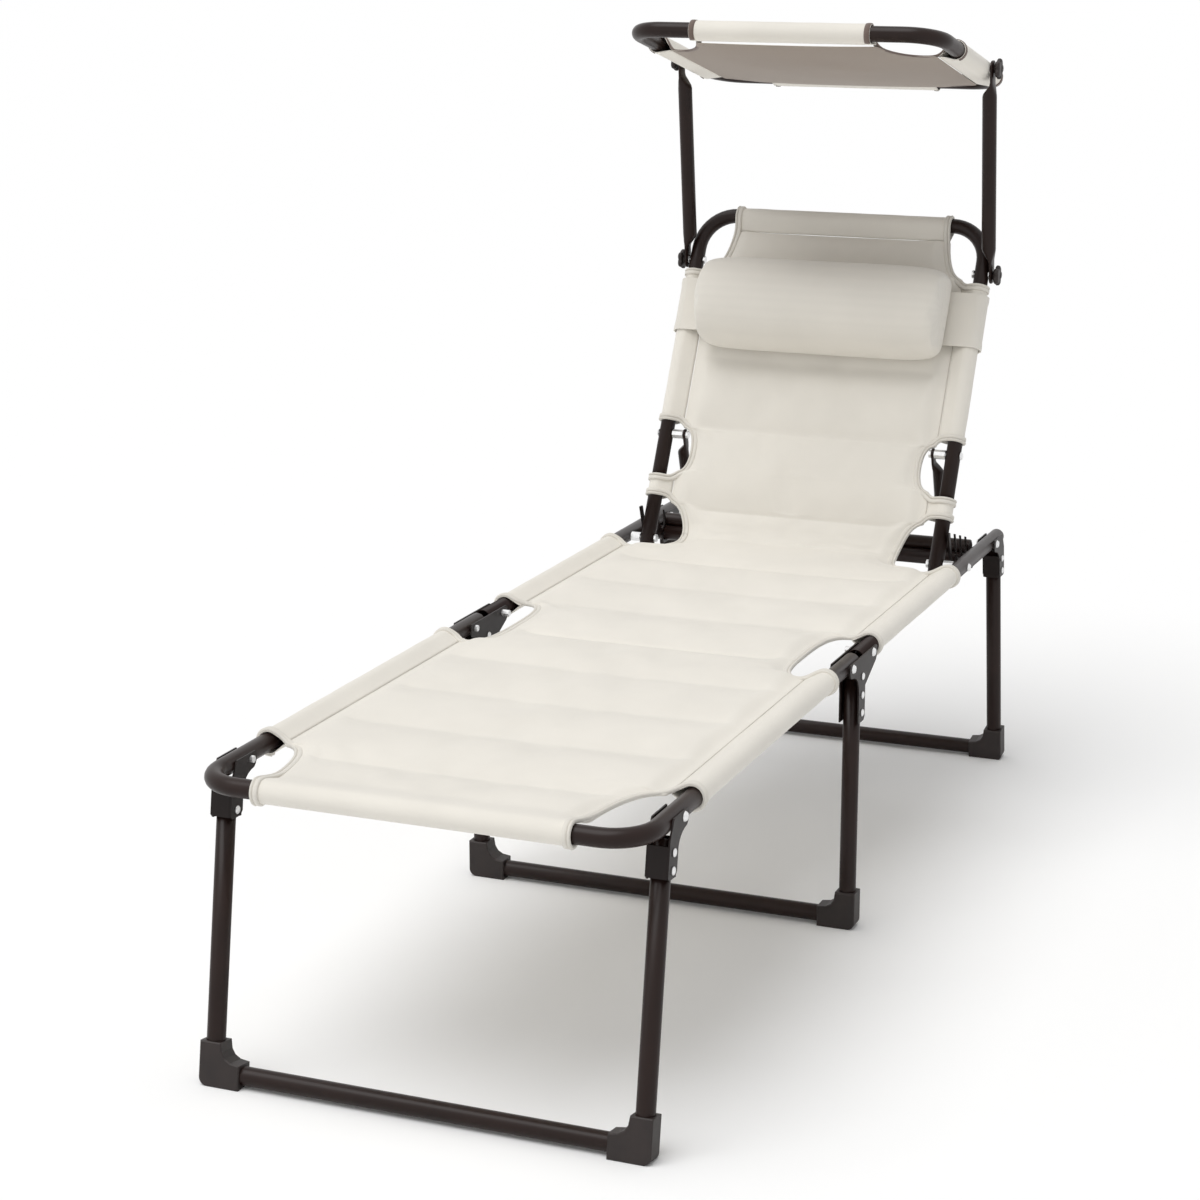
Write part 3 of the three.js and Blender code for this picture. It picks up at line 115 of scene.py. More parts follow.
def painted_steel(name, colour, roughness):
    """Powder coat: a fine orange peel, and a slightly uneven colour and gloss."""
    paint, tree, shader, place = new_material(name)
    clouds = add_noise(tree, place, 14, 6)
    peel = add_noise(tree, place, 900, 3)
    feed(shader, {
        "Specular IOR Level": 0.2,
        "Coat Weight": 0.03,
        "Coat Roughness": 0.25,
        "Base Color": add_ramp(tree, clouds, (0.3, toned(colour, 0.82)), (0.75, toned(colour, 1.18))),
        "Roughness": add_gloss(tree, clouds, roughness - 0.06, roughness + 0.08),
        "Normal": add_bump(tree, peel, 0.12, 0.0004),
    })
    return paint


tube_paint = painted_steel("tube_powder_coat", (0.018, 0.0092, 0.0074), 0.34)


def add_object(name, data):
    made = bpy.data.objects.new(name, data)
    bpy.context.scene.collection.objects.link(made)
    return made


def add_piece(name, bm, material):
    """A finished bmesh becomes a smooth-shaded piece in the row's frame."""
    bmesh.ops.recalc_face_normals(bm, faces=bm.faces)
    for face in bm.faces:
        face.smooth = True
    mesh = bpy.data.meshes.new(name)
    bm.to_mesh(mesh)
    bm.free()
    piece = add_object(name, mesh)
    mesh.materials.append(material)
    return piece


def new_ring(made):
    """The verts and ring edges that an extrude or a spin has just made, in the order it made them."""
    verts = [g for g in made if isinstance(g, bmesh.types.BMVert)]
    found = set(verts)
    edges = dict.fromkeys(e for v in verts for e in v.link_edges if all(w in found for w in e.verts))
    return verts, list(edges)


def sweep_tube(bm, corners, bend):
    """Extrude a circle along straight runs and spin it round each bend."""
    corners = [Vector(c) for c in corners]
    headings = [(b - a).normalized() for a, b in zip(corners, corners[1:])]
    turned = Matrix.Translation(corners[0]) @ headings[0].to_track_quat("Z", "Y").to_matrix().to_4x4()
    circle = bmesh.ops.create_circle(bm, segments=TUBE_SIDES, radius=TUBE_RADIUS, matrix=turned)
    verts, edges = new_ring(circle["verts"])
    place = corners[0]
    for i, corner in enumerate(corners[1:], 1):
        before = headings[i - 1]
        after = headings[min(i, len(headings) - 1)]
        turn = before.angle(after)
        stop = corner - before * bend * math.tan(turn / 2)
        verts, edges = new_ring(bmesh.ops.extrude_edge_only(bm, edges=edges)["geom"])
        bmesh.ops.translate(bm, verts=verts, vec=stop - place)
        place = stop
        if turn > 0.01:
            axis = before.cross(after).normalized()
            centre = stop + axis.cross(before) * bend
            steps = max(4, round(turn / BEND_STEP))
            made = bmesh.ops.spin(bm, geom=verts + edges, cent=centre, axis=axis, angle=turn, steps=steps)
            verts, edges = new_ring(made["geom_last"])
            place = corner + after * bend * math.tan(turn / 2)


def hollow(piece, wall):
    """Give an open skin its wall, inwards from the outside that was drawn."""
    solid = piece.modifiers.new("wall", "SOLIDIFY")
    solid.thickness = wall
    solid.offset = -1
    return piece


def frame_tube(name, body, runs, bend=0.0):
    bm = bmesh.new()
    for corners in runs:
        sweep_tube(bm, corners, bend)
    piece = hollow(add_piece(name, bm, tube_paint), TUBE_WALL)
    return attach(piece, body)


def u_run(point, half, ends, far):
    """The corners of a U of tube, with its open ends at one place and its cross run at the far one."""
    return [point(-half, ends), point(-half, far), point(half, far), point(half, ends)]


def bed(x, place, lift=0.0):
    """A point by its lengthwise place from the middle leg's plane, at rail height plus lift."""
    return Vector((x, place + ORIGIN_SHIFT, RAIL_Z + lift))


FRONT_TUBE = -0.838
FRONT_BEND = 0.055
FOOT_RAIL_END = 0.001
foot_run = u_run(bed, RAIL_X, FOOT_RAIL_END, FRONT_TUBE)
foot_tube = frame_tube("foot_frame_tube", "foot_frame", [foot_run], FRONT_BEND)
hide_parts("foot_frame")

SEAT_RAIL = (0.020, 0.850)
CROSS_TUBE = 0.738
CROSS_HALF = 0.2845
CROSS_LIFT = -0.020
seat_runs = [[bed(side * RAIL_X, place) for place in SEAT_RAIL] for side in (-1, 1)]
seat_runs.append([bed(side * CROSS_HALF, CROSS_TUBE, CROSS_LIFT) for side in (-1, 1)])
seat_tubes = frame_tube("seat_frame_tubes", "seat_frame", seat_runs)
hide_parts("seat_frame")

# Legs. Each is one tube bent square at both bottom corners, with its cross part just over the ground.
# The front and rear legs lean 9 degrees outwards from their pivots; the middle leg stands upright.
LEG_BEND = 0.040
CROSSBAR_Z = 0.0155
LEG_TILT = math.radians(9)
# pivot's place, side that the foot leans to (-1 is the foot end), tube's distance from the pivot
FRONT_LEG = (-0.729, -1, 0.0311)
REAR_LEG = (0.791, 1, 0.0343)
MIDDLE_LEG = (0.008, 0, 0.0)
LEANING_TOP = 0.017
UPRIGHT_TOP = 0.026


def leg_tube(name, body, pivot, away, setback, top_drop):
    tilt = away * LEG_TILT
    rise = setback * math.sin(LEG_TILT) if away else 0.0
    low = (CROSSBAR_Z - RAIL_Z - rise) / math.cos(tilt)
    high = -(top_drop + rise) / math.cos(tilt)
    turn = Matrix.Translation(bed(0, pivot)) @ Matrix.Rotation(tilt, 4, "X")
    corners = u_run(lambda x, z: turn @ Vector((x, away * setback, z)), RAIL_X, high, low)
    leg = frame_tube(name + "_tube", body, [corners], LEG_BEND)
    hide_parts(name)


leg_tube("front_leg", "front_leg", *FRONT_LEG, LEANING_TOP)
leg_tube("rear_leg", "rear_leg", *REAR_LEG, LEANING_TOP)
leg_tube("middle_leg", "mid_leg", *MIDDLE_LEG, UPRIGHT_TOP)

# Backrest. An upside-down U of the same tube, hung on two bolts between the seat rails.
# It leans back 27.5 degrees from upright in this notch of the rack.
BACK_ANGLE = math.radians(62.5)
BACK_X = 0.2555
BACK_PIVOT = 0.612
BACK_START = -0.013
BACK_LENGTH = 0.5915
BACK_BEND = 0.062
along_back = Vector((0, math.cos(BACK_ANGLE), math.sin(BACK_ANGLE)))
out_of_back = Vector((0, -math.sin(BACK_ANGLE), math.cos(BACK_ANGLE)))


def back(x, reach, lift=0.0):
    """A point by its reach up the backrest from its pivot, and lift towards the sitter."""
    return bed(x, BACK_PIVOT) + along_back * reach + out_of_back * lift


back_run = u_run(back, BACK_X, BACK_START, BACK_LENGTH)
backrest_tube = frame_tube("backrest_frame_tube", "backrest", [back_run], BACK_BEND)
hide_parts("backrest_frame")

# Prop. A bar that drops into the rack, with an arm near each end whose tip is pressed flat round its bolt.
# The arms are thinner tube, welded into the bar.
PROP_REACH = 0.188
PROP_ANGLE = BACK_ANGLE - math.radians(134)
PROP_ARM = 0.176
PROP_PLATE_X = 0.221
PROP_ARM_X = 0.228
PROP_BAR_HALF = 0.2748
prop_pivot = back(0, PROP_REACH)
prop_heading = Vector((0, math.cos(PROP_ANGLE), math.sin(PROP_ANGLE)))
prop_bar = prop_pivot + prop_heading * PROP_ARM


def smooth_step(low, high, value):
    share = min(max((value - low) / (high - low), 0.0), 1.0)
    return share * share * (3 - 2 * share)


def pressed_tube(bm, stations, start, heading):
    """A round tube with pressed ends, through stations of (at, x, half thickness, half width)."""
    width_way = heading.cross(Vector((1, 0, 0))).normalized()
    loops = []
    for at, x, thick, wide in stations:
        ring = bmesh.ops.create_circle(bm, segments=TUBE_SIDES, radius=1.0)["verts"]
        for vert in ring:
            a, b = vert.co.x, vert.co.y
            soft = 0.7 if thick < wide * 0.8 else 1.0
            across = x + thick * math.copysign(abs(a) ** soft, a)
            sideways = wide * math.copysign(abs(b) ** soft, b)
            vert.co = start + heading * at + width_way * sideways + Vector((across, 0, 0))
        loops.append(new_ring(ring)[1])
    for near, far in zip(loops, loops[1:]):
        bmesh.ops.bridge_loops(bm, edges=near + far)
    for end in (loops[0], loops[-1]):
        bmesh.ops.contextual_create(bm, geom=end)


def arm_profile(length, plate_x, arm_x, radius, plate_half, tip, neck, shoulder, both):
    """Stations of an arm pressed flat at one end or both, eased over the shoulder to the round tube."""
    thick, wide = plate_half
    end = [(length + tip, plate_x, thick * 0.8, wide * 0.45),
           (length + tip * 0.8, plate_x, thick, wide * 0.78),
           (length + tip * 0.4, plate_x, thick, wide), (length - neck, plate_x, thick, wide)]
    for share in (0.2, 0.5, 0.8, 1.0):
        ease = smooth_step(0, 1, share)
        end.append((length - neck - shoulder * share, plate_x + (arm_x - plate_x) * ease,
                    thick + (radius - thick) * ease, wide + (radius - wide) * ease))
    if not both:
        return list(reversed(end + [(0.0, arm_x, radius, radius)]))
    start = [(length - at, x, t, w) for at, x, t, w in end]
    return start + list(reversed(end))


prop_shape = bmesh.new()
sweep_tube(prop_shape, [prop_bar + Vector((side * PROP_BAR_HALF, 0, 0)) for side in (-1, 1)], 0)
for side in (-1, 1):
    profile = arm_profile(PROP_ARM, side * PROP_PLATE_X, side * PROP_ARM_X, radius=0.0095,
                          plate_half=(0.0025, 0.009), tip=0.009, neck=0.016, shoulder=0.018, both=False)
    pressed_tube(prop_shape, profile, prop_bar, -prop_heading)
prop_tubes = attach(add_piece("prop_tubes", prop_shape, tube_paint), "prop")
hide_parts("prop_frame")

# Sunshade arms. Round tube with both ends pressed flat under bottle shoulders, so a knob can clamp them.
# Each runs outside the backrest and outside the hoop.
ARM_ANGLE = math.radians(96.8)
ARM_REACH = 0.507
ARM_LENGTH = 0.3474
ARM_PLATE_X = 0.2726
ARM_X = 0.2675
arm_pivot = back(0, ARM_REACH)
arm_heading = Vector((0, math.cos(ARM_ANGLE), math.sin(ARM_ANGLE)))
hoop_pivot = arm_pivot + arm_heading * ARM_LENGTH
for side, label in ((-1, "left"), (1, "right")):
    arm_shape = bmesh.new()
    profile = arm_profile(ARM_LENGTH, side * ARM_PLATE_X, side * ARM_X, radius=0.012,
                          plate_half=(0.0028, 0.013), tip=0.013, neck=0.022, shoulder=0.024, both=True)
    pressed_tube(arm_shape, profile, arm_pivot, arm_heading)
    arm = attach(add_piece(f"sunshade_arm_{label}", arm_shape, tube_paint), "canopy_arms")
    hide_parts(f"canopy_arm_{label}")

# Sunshade hoop. One tube bent to a rounded rectangle; its two ends meet in the middle of the rear side.
# It tips on two clamped bolts through its side runs.
HOOP_SLIT = 0.00015
HOOP_ANGLE = math.radians(166.7)
HOOP_FRONT = 0.293
HOOP_REAR = -0.138
HOOP_BEND = 0.055
along_hoop = Vector((0, math.cos(HOOP_ANGLE), math.sin(HOOP_ANGLE)))
over_hoop = Vector((0, math.sin(HOOP_ANGLE), -math.cos(HOOP_ANGLE)))


def shade(x, reach, lift=0.0):
    return hoop_pivot + along_hoop * reach + over_hoop * lift + Vector((x, 0, 0))


hoop_run = [shade(HOOP_SLIT, HOOP_REAR), *reversed(u_run(shade, BACK_X, HOOP_REAR, HOOP_FRONT)),
            shade(-HOOP_SLIT, HOOP_REAR)]
hoop_tube = frame_tube("sunshade_hoop_tube", "canopy", [hoop_run], HOOP_BEND)
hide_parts("canopy_hoop")

# Brackets and rack plates. Pressed from 2 to 3 mm sheet, welded and painted nearly black.
# They keep the shape of the solid model and get the paint's finish.
bracket_paint = painted_steel("bracket_powder_coat", (0.0105, 0.0062, 0.0054), 0.42)


def dress(material, *marks):
    """Give the solids whose names hold one of the marks their finish."""
    for name, node in nodes.items():
        if any(mark in name for mark in marks):
            node.data.materials.clear()
            node.data.materials.append(material)


dress(bracket_paint, "bracket", "rack")

# Shoes and tube plugs. Moulded in black plastic with a fine spark texture, pushed on or into the tubes.
# They keep the shape of the solid model; the plastic is slightly scuffed all over.


def moulded_plastic(name, colour):
    plastic, tree, shader, place = new_material(name)
    spark = add_node(tree, "ShaderNodeTexVoronoi", {"Vector": place, "Scale": 1400})
    scuff = add_noise(tree, place, 40, 8)
    feed(shader, {
        "Specular IOR Level": 0.4,
        "Base Color": add_ramp(tree, scuff, (0.35, colour), (0.8, toned(colour, 1.7))),
        "Roughness": add_gloss(tree, scuff, 0.45, 0.62),
        "Normal": add_bump(tree, spark.outputs["Distance"], 0.2, 0.0002),
    })
    return plastic


black_plastic = moulded_plastic("black_moulded_plastic", (0.016, 0.011, 0.010))
dress(black_plastic, "shoe", "plug")

# Rivets and bolts. Zinc-plated steel with domed heads, bright against the dark brackets.
# The pivots' fasteners come from the solid model; the brackets' fixed rivets get their heads here.
RIVET_OUT = 0.0160
RIVET_RADIUS = 0.0055
RIVET_DOME = 0.42
RIVET_HEIGHTS = (-0.034, -0.056)
HINGE_DEPTH = -0.092
HINGE_RIVETS = (0.25, 0.56, 0.85)


def zinc_plate(name):
    zinc, tree, shader, place = new_material(name)
    spangle = add_node(tree, "ShaderNodeTexVoronoi", {"Vector": place, "Scale": 500}).outputs
    feed(shader, {
        "Metallic": 0.75,
        "Base Color": add_ramp(tree, spangle["Color"], (0, (0.72, 0.72, 0.73)), (1, (0.88, 0.88, 0.87))),
        "Roughness": add_gloss(tree, spangle["Distance"], 0.28, 0.42),
    })
    return zinc


def rivet_domes(name, body, places):
    """Low domes over the fixed rivets, outside and inside each cheek pair."""
    bm = bmesh.new()
    for side in (-1, 1):
        for face in (-1, 1):
            for place, height in places:
                x = side * RAIL_X + face * RIVET_OUT
                ball = bmesh.ops.create_uvsphere(bm, u_segments=20, v_segments=10, radius=RIVET_RADIUS)
                bmesh.ops.scale(bm, verts=ball["verts"], vec=(RIVET_DOME, 1, 1))
                bmesh.ops.translate(bm, verts=ball["verts"], vec=bed(x, place, height))
    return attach(add_piece(name, bm, zinc_steel), body)


def leg_rivets(pivot, away, setback):
    """The (place, height) of a leaning leg's fixed rivets, on the line of its tube."""
    return [(pivot + away * (setback / math.cos(LEG_TILT) - height * math.tan(LEG_TILT)), height)
            for height in RIVET_HEIGHTS]


zinc_steel = zinc_plate("zinc_plated_steel")
dress(zinc_steel, "bolt", "rivet")
rivet_domes("front_bracket_rivets", "front_leg", leg_rivets(*FRONT_LEG))
rivet_domes("rear_bracket_rivets", "rear_leg", leg_rivets(*REAR_LEG))
rivet_domes("hinge_bracket_rivets", "mid_leg", [(MIDDLE_LEG[0], HINGE_DEPTH * s) for s in HINGE_RIVETS])

# Sling. One long padded cover of cream coated fabric: thin foam between two layers, stitched in channels.
# It is pulled round the front tube, hangs between the rails' sleeves and turns up the backrest in one curve.
SEAM_INSET = 0.030
RAIL_SEAM = RAIL_X - SEAM_INSET
BACK_SEAM = BACK_X - SEAM_INSET
BACK_TOP = BACK_PIVOT + BACK_LENGTH
TOP_SEAM = BACK_TOP - SEAM_INSET
BEND_ROUND = 0.055
BEND_REACH = BEND_ROUND * math.tan(BACK_ANGLE / 2)
SLEEVE_RADIUS = 0.0160
SLING_WALL = 0.0013
PAD_TOP = 0.0128
PAD_BOTTOM = -0.0020
HEM_TOP = 0.0042
HEM_BOTTOM = 0.0006
SAG = 0.003
FRONT_HALF = 0.215
FRONT_EASE = 0.045
SEAM_CURL = 0.012
HELD_EDGE = 0.016
HELD_RISE = 0.30
SWELL_FRAMES = 14
CUTS = (
    # wide end and narrow end along the run, half width there, and how square the corner is
    (-0.670, FRONT_TUBE, RAIL_SEAM, FRONT_HALF, 2.2),
    (-0.124, -0.013, RAIL_SEAM, 0.231, 3.0),
    (0.107, -0.013, RAIL_SEAM, 0.231, 3.0),
    (0.530, 0.604, RAIL_SEAM, 0.191, 2.4),
    (0.676, 0.604, BACK_SEAM, 0.191, 2.0),
    (0.734, 0.7725, BACK_SEAM, 0.205, 2.4),
    (0.811, 0.7725, BACK_SEAM, 0.205, 2.4),
    (1.108, BACK_TOP, BACK_SEAM, 0.193, 2.2),
)
BED_SEAMS = [-0.876 + 0.166 * i for i in range(9)]
BACK_SEAMS = [BACK_PIVOT + reach for reach in (0.056, 0.202, 0.322, 0.440)] + [TOP_SEAM]
SEAMS = BED_SEAMS + BACK_SEAMS


def spaced(start, end, steps):
    return [start + (end - start) * i / steps for i in range(steps + 1)]


def sling_at(x, run, lift=0.0):
    """A point on the tubes' plane by its run: round the front tube, along the bed and up the backrest."""
    turned = min(max((run - BACK_PIVOT + BEND_REACH) / (2 * BEND_REACH), 0.0), 1.0) * BACK_ANGLE
    if run < FRONT_TUBE:
        turned = (FRONT_TUBE - run) / SLEEVE_RADIUS
    normal = Vector((0, -math.sin(turned), math.cos(turned)))
    if run < FRONT_TUBE:
        point = bed(x, FRONT_TUBE)
    elif turned <= 0:
        point = bed(x, run)
    elif turned >= BACK_ANGLE:
        point = back(x, run - BACK_PIVOT)
    else:
        point = bed(x, BACK_PIVOT - BEND_REACH, BEND_ROUND) - normal * BEND_ROUND
    return point + normal * lift, normal


def cut_share(share, power):
    """How far a rounded cut has opened at a share of its length: 0 where narrow, 1 where wide."""
    return 1 - (1 - min(share, 1.0) ** power) ** (1 / power)


def sling_half(run):
    """Half the sling's width between its sleeve seams, cut in at the corners, hinge, bend and prop."""
    for wide_run, narrow_run, wide, narrow, power in CUTS:
        share = (run - narrow_run) / (wide_run - narrow_run)
        if 0 <= share <= 1:
            return narrow + (wide - narrow) * cut_share(share, power)
    if run < FRONT_TUBE:
        return FRONT_HALF
    return RAIL_SEAM if run < BACK_PIVOT else BACK_SEAM


def channel_rise(x, run):
    """0 at a stitched seam and 1 between two; the seams curl up a little and fade out towards their ends."""
    half = sling_half(run)
    curled = run - SEAM_CURL * max(0.0, (abs(x) - half * 0.72) / half) ** 2 / 0.08
    fade = smooth_step(half - 0.040, half - 0.016, abs(x))
    for low, high in zip(SEAMS, SEAMS[1:]):
        if low <= curled < high:
            rise = abs(math.sin((curled - low) / (high - low) * math.pi)) ** 0.5
            return rise + (1 - rise) * fade * 0.7
    return 0.0


def front_rise(run):
    """How far the cover has risen to the top of the front tube's sleeve: 1 at the tube, 0 clear of it."""
    return 1 - smooth_step(FRONT_TUBE, FRONT_TUBE + FRONT_EASE, run)


def pad_lifts(x, run):
    """Lifts of the upper and lower layer over the tubes' plane."""
    half = sling_half(run)
    fill = smooth_step(0.003, 0.032, half - abs(x)) * channel_rise(x, run)
    slack = SAG * (1 - (x / RAIL_SEAM) ** 2)
    top = HEM_TOP + (PAD_TOP - HEM_TOP) * fill - slack
    low = HEM_BOTTOM + (PAD_BOTTOM - HEM_BOTTOM) * fill - slack
    wrap = front_rise(run)
    top += (SLEEVE_RADIUS - top) * wrap
    low += (SLEEVE_RADIUS - SLING_WALL - low) * wrap
    return top, low


def woven_fabric(name, colour, thread=0.0011, contrast=0.06, underside_shade=None):
    """Coated weave: crossing threads in relief, soft creases and a slightly uneven tone."""
    cloth, tree, shader, place = new_material(name)
    cut = add_node(tree, "ShaderNodeUVMap", {}, uv_map="cut").outputs["UV"]
    bands = {"Vector": cut, "Scale": 0.314 / thread, "Distortion": 0.6, "Detail": 1}
    waves = [add_node(tree, "ShaderNodeTexWave", bands, wave_type="BANDS", bands_direction=way).outputs["Fac"]
             for way in ("X", "Y")]
    weave = add_node(tree, "ShaderNodeMath", dict(enumerate(waves)), operation="MULTIPLY").outputs["Value"]
    tone = add_noise(tree, place, 9, 5)
    mixed = add_node(tree, "ShaderNodeMath", {0: weave, 1: 0.35, 2: tone}, operation="MULTIPLY_ADD")
    dyed = add_ramp(tree, mixed.outputs["Value"], (0.3, toned(colour, 1 - contrast)),
                    (0.95, toned(colour, 1 + contrast * 0.5)))
    # painted shade: the lower layer's colour is multiplied down to a darker tint that stands in for the shade
    # under the cloth
    if underside_shade:
        side = add_node(tree, "ShaderNodeAttribute", {}, attribute_name="underside").outputs["Fac"]
        painted_shade_tint = (*[a / b for a, b in zip(underside_shade, colour)], 1)
        dyed = add_node(tree, "ShaderNodeMix", {"Factor": side, "A": dyed, "B": painted_shade_tint},
                        data_type="RGBA", blend_type="MULTIPLY").outputs["Result"]
    creases = add_bump(tree, add_noise(tree, place, 26, 4), 0.18, 0.002)
    feed(shader, {
        "Roughness": 0.78,
        "Specular IOR Level": 0.3,
        "Sheen Weight": 0.25,
        "Sheen Roughness": 0.5,
        "Base Color": dyed,
        "Normal": add_bump(tree, weave, 0.35, 0.0003, Normal=creases),
    })
    return cloth


CREAM = (0.81, 0.775, 0.705)
sling_fabric = woven_fabric("cream_sling_fabric", CREAM)
binding_fabric = woven_fabric("cream_binding_tape", toned(CREAM, 0.93), thread=0.0007)


def layered(name, top, low, cut, material, slot):
    """A closed cloth of two layers, each rows of points; cut holds their places in the flat cut."""
    rows, columns = len(top) - 1, len(top[0]) - 1
    bm = bmesh.new()
    layout = bm.loops.layers.uv.new("cut")
    under = bm.verts.layers.float.new("underside")
    crease = bm.edges.layers.float.new("crease_edge")
    rims = []
    flat_of = {}
    for lower, layer in enumerate((top, low)):
        verts = bmesh.ops.create_grid(bm, x_segments=columns, y_segments=rows, size=0.5)["verts"]
        for vert in verts:
            i, j = round((vert.co.y + 0.5) * rows), round((vert.co.x + 0.5) * columns)
            vert.co = layer[i][j]
            vert[under] = lower
            flat_of[vert] = cut[i][j]
        faces = list({f for v in verts for f in v.link_faces})
        rims += [e for e in dict.fromkeys(e for v in verts for e in v.link_edges) if e.is_boundary]
        if lower:
            bmesh.ops.reverse_faces(bm, faces=faces)
    for edge in rims:
        ends = {flat_of[v][1] for v in edge.verts}
        if ends in ({cut[0][0][1]}, {cut[-1][0][1]}):
            edge[crease] = 1.0
            edge.smooth = False
    bmesh.ops.bridge_loops(bm, edges=rims)
    for face in bm.faces:
        for loop in face.loops:
            loop[layout].uv = flat_of[loop.vert]
    return add_piece(name, bm, material)


def puff(piece, pressure, pinned, cap):
    """Let the padding swell between its stitches, by no more than the cap; returns the points it ends at."""
    before = [v.co.copy() for v in piece.data.vertices]
    group = piece.vertex_groups.new(name="stitched")
    group.add([i for i, fixed in enumerate(pinned) if fixed], 1.0, "REPLACE")
    swell = piece.modifiers.new("swell", "CLOTH")
    for key, value in {
        "quality": 4, "mass": 0.2, "shrink_min": -0.003, "vertex_group_mass": "stitched",
        "tension_stiffness": 15, "compression_stiffness": 5, "shear_stiffness": 5, "bending_stiffness": 6,
        "use_pressure": True, "uniform_pressure_force": pressure,
    }.items():
        setattr(swell.settings, key, value)
    swell.settings.effector_weights.gravity = 0
    swell.collision_settings.use_self_collision = False
    swell.collision_settings.use_collision = False
    swell.point_cache.frame_start = 1
    swell.point_cache.frame_end = SWELL_FRAMES
    scene = bpy.context.scene
    for number in range(1, SWELL_FRAMES + 1):
        scene.frame_set(number)
    shaped = piece.evaluated_get(bpy.context.evaluated_depsgraph_get())
    after = [v.co.copy() for v in shaped.data.vertices]
    piece.modifiers.remove(swell)
    piece.vertex_groups.remove(group)
    scene.frame_set(1)
    moves = [new - old for old, new in zip(before, after)]
    return [old + move * min(1.0, cap / max(move.length, cap)) for old, move in zip(before, moves)]


def soften(piece):
    finer = piece.modifiers.new("finer", "SUBSURF")
    finer.levels = 1
    finer.render_levels = 1


HINGE_SEAM = BED_SEAMS[5]
WRAP_END = FRONT_TUBE - SLEEVE_RADIUS * math.radians(205)
CUT_SHARES = (0.80, 0.88, 0.94, 0.98, 1.0)
BEND_STEPS = 8
STOP_SPACE = 0.002
COLUMNS = 56
stops = {*spaced(WRAP_END, FRONT_TUBE, steps=14), *spaced(FRONT_TUBE, TOP_SEAM, steps=230)}
stops |= {BACK_PIVOT + BEND_REACH * i / BEND_STEPS for i in range(-BEND_STEPS, BEND_STEPS + 1)}
marks = {HINGE_SEAM, BED_SEAMS[8], BACK_PIVOT, FRONT_TUBE, TOP_SEAM}
for wide_run, narrow_run, *_ in CUTS:
    stops |= {narrow_run + (wide_run - narrow_run) * share for share in CUT_SHARES}
stops = {s for s in stops if s < TOP_SEAM and all(abs(s - m) > STOP_SPACE for m in marks)}
sling_rows = []
for run in sorted(stops | marks):
    row = []
    for j in range(COLUMNS + 1):
        even = 2 * j / COLUMNS - 1
        x = sling_half(run) * even * (1.35 - 0.35 * even * even)
        top, low = pad_lifts(x, run)
        row.append((sling_at(x, run, top)[0], sling_at(x, run, low)[0], (x, run)))
    sling_rows.append(row)


def sling_layers(name, rows):
    """The sling's cloth through rows of (upper point, lower point, place in the flat cut)."""
    grids = [[[point[k] for point in row] for row in rows] for k in range(3)]
    return layered(name, *grids, sling_fabric, "sling_fabric")


def spot_key(point):
    return tuple(round(c, 6) for c in point)


whole = sling_layers("whole_sling", sling_rows)
near = {}
for row in sling_rows:
    for j, (top, low, (x, run)) in enumerate(row):
        held = (sling_half(run) - abs(x) < HELD_EDGE or channel_rise(x, run) < HELD_RISE
                or run < FRONT_TUBE + FRONT_EASE)
        near[spot_key(top)] = (row, j, 0, held)
        near[spot_key(low)] = (row, j, 1, held)
places = [near[spot_key(v.co)] for v in whole.data.vertices]
swollen = puff(whole, 1.3, [place[3] for place in places], cap=0.0025)
for (row, j, k, held), spot in zip(places, swollen):
    row[j] = (spot, row[j][1], row[j][2]) if k == 0 else (row[j][0], spot, row[j][2])
bpy.data.objects.remove(whole)


def sling_part(name, start, end):
    part = sling_layers(name, [row for row in sling_rows if start - 1e-6 <= row[0][2][1] <= end + 1e-6])
    soften(part)
    return part


foot_pad = sling_part("foot_pad", WRAP_END, HINGE_SEAM)
seat_pad = sling_part("seat_pad", HINGE_SEAM, BED_SEAMS[8])
bend_pad = sling_part("bend_pad", BED_SEAMS[8], BACK_PIVOT)
back_pad = sling_part("back_pad", BACK_PIVOT, BACK_TOP)
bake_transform(foot_pad)
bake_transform(seat_pad)
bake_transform(bend_pad)
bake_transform(back_pad)
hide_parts("sling_foot")
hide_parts("sling_hinge", "sling_seat")
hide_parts("sling_bend")
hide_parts("sling_back")

# Sleeves. Along the rails and the backrest the cover is turned back on itself and stitched 30 mm in from
# the tube. Each sleeve is a loose drop-shaped loop round its tube that comes together again at that seam.
SEAM_LIFT = 0.003
SLEEVE_SLACK = 0.0020
SLEEVE_STEP = 0.010
SLEEVE_RIPPLE = 0.0005
SLEEVE_FLANK = 5


def next_ring(bm, ring):
    """Extrude a closed ring of verts; returns the new verts in the same order."""
    edges = [bm.edges.get((a, b)) for a, b in zip(ring, ring[1:] + ring[:1])]
    made = bmesh.ops.extrude_edge_only(bm, edges=edges)["geom"]
    fresh = {v for v in made if isinstance(v, bmesh.types.BMVert)}
    return [next(e.other_vert(v) for e in v.link_edges if e.other_vert(v) in fresh) for v in ring]


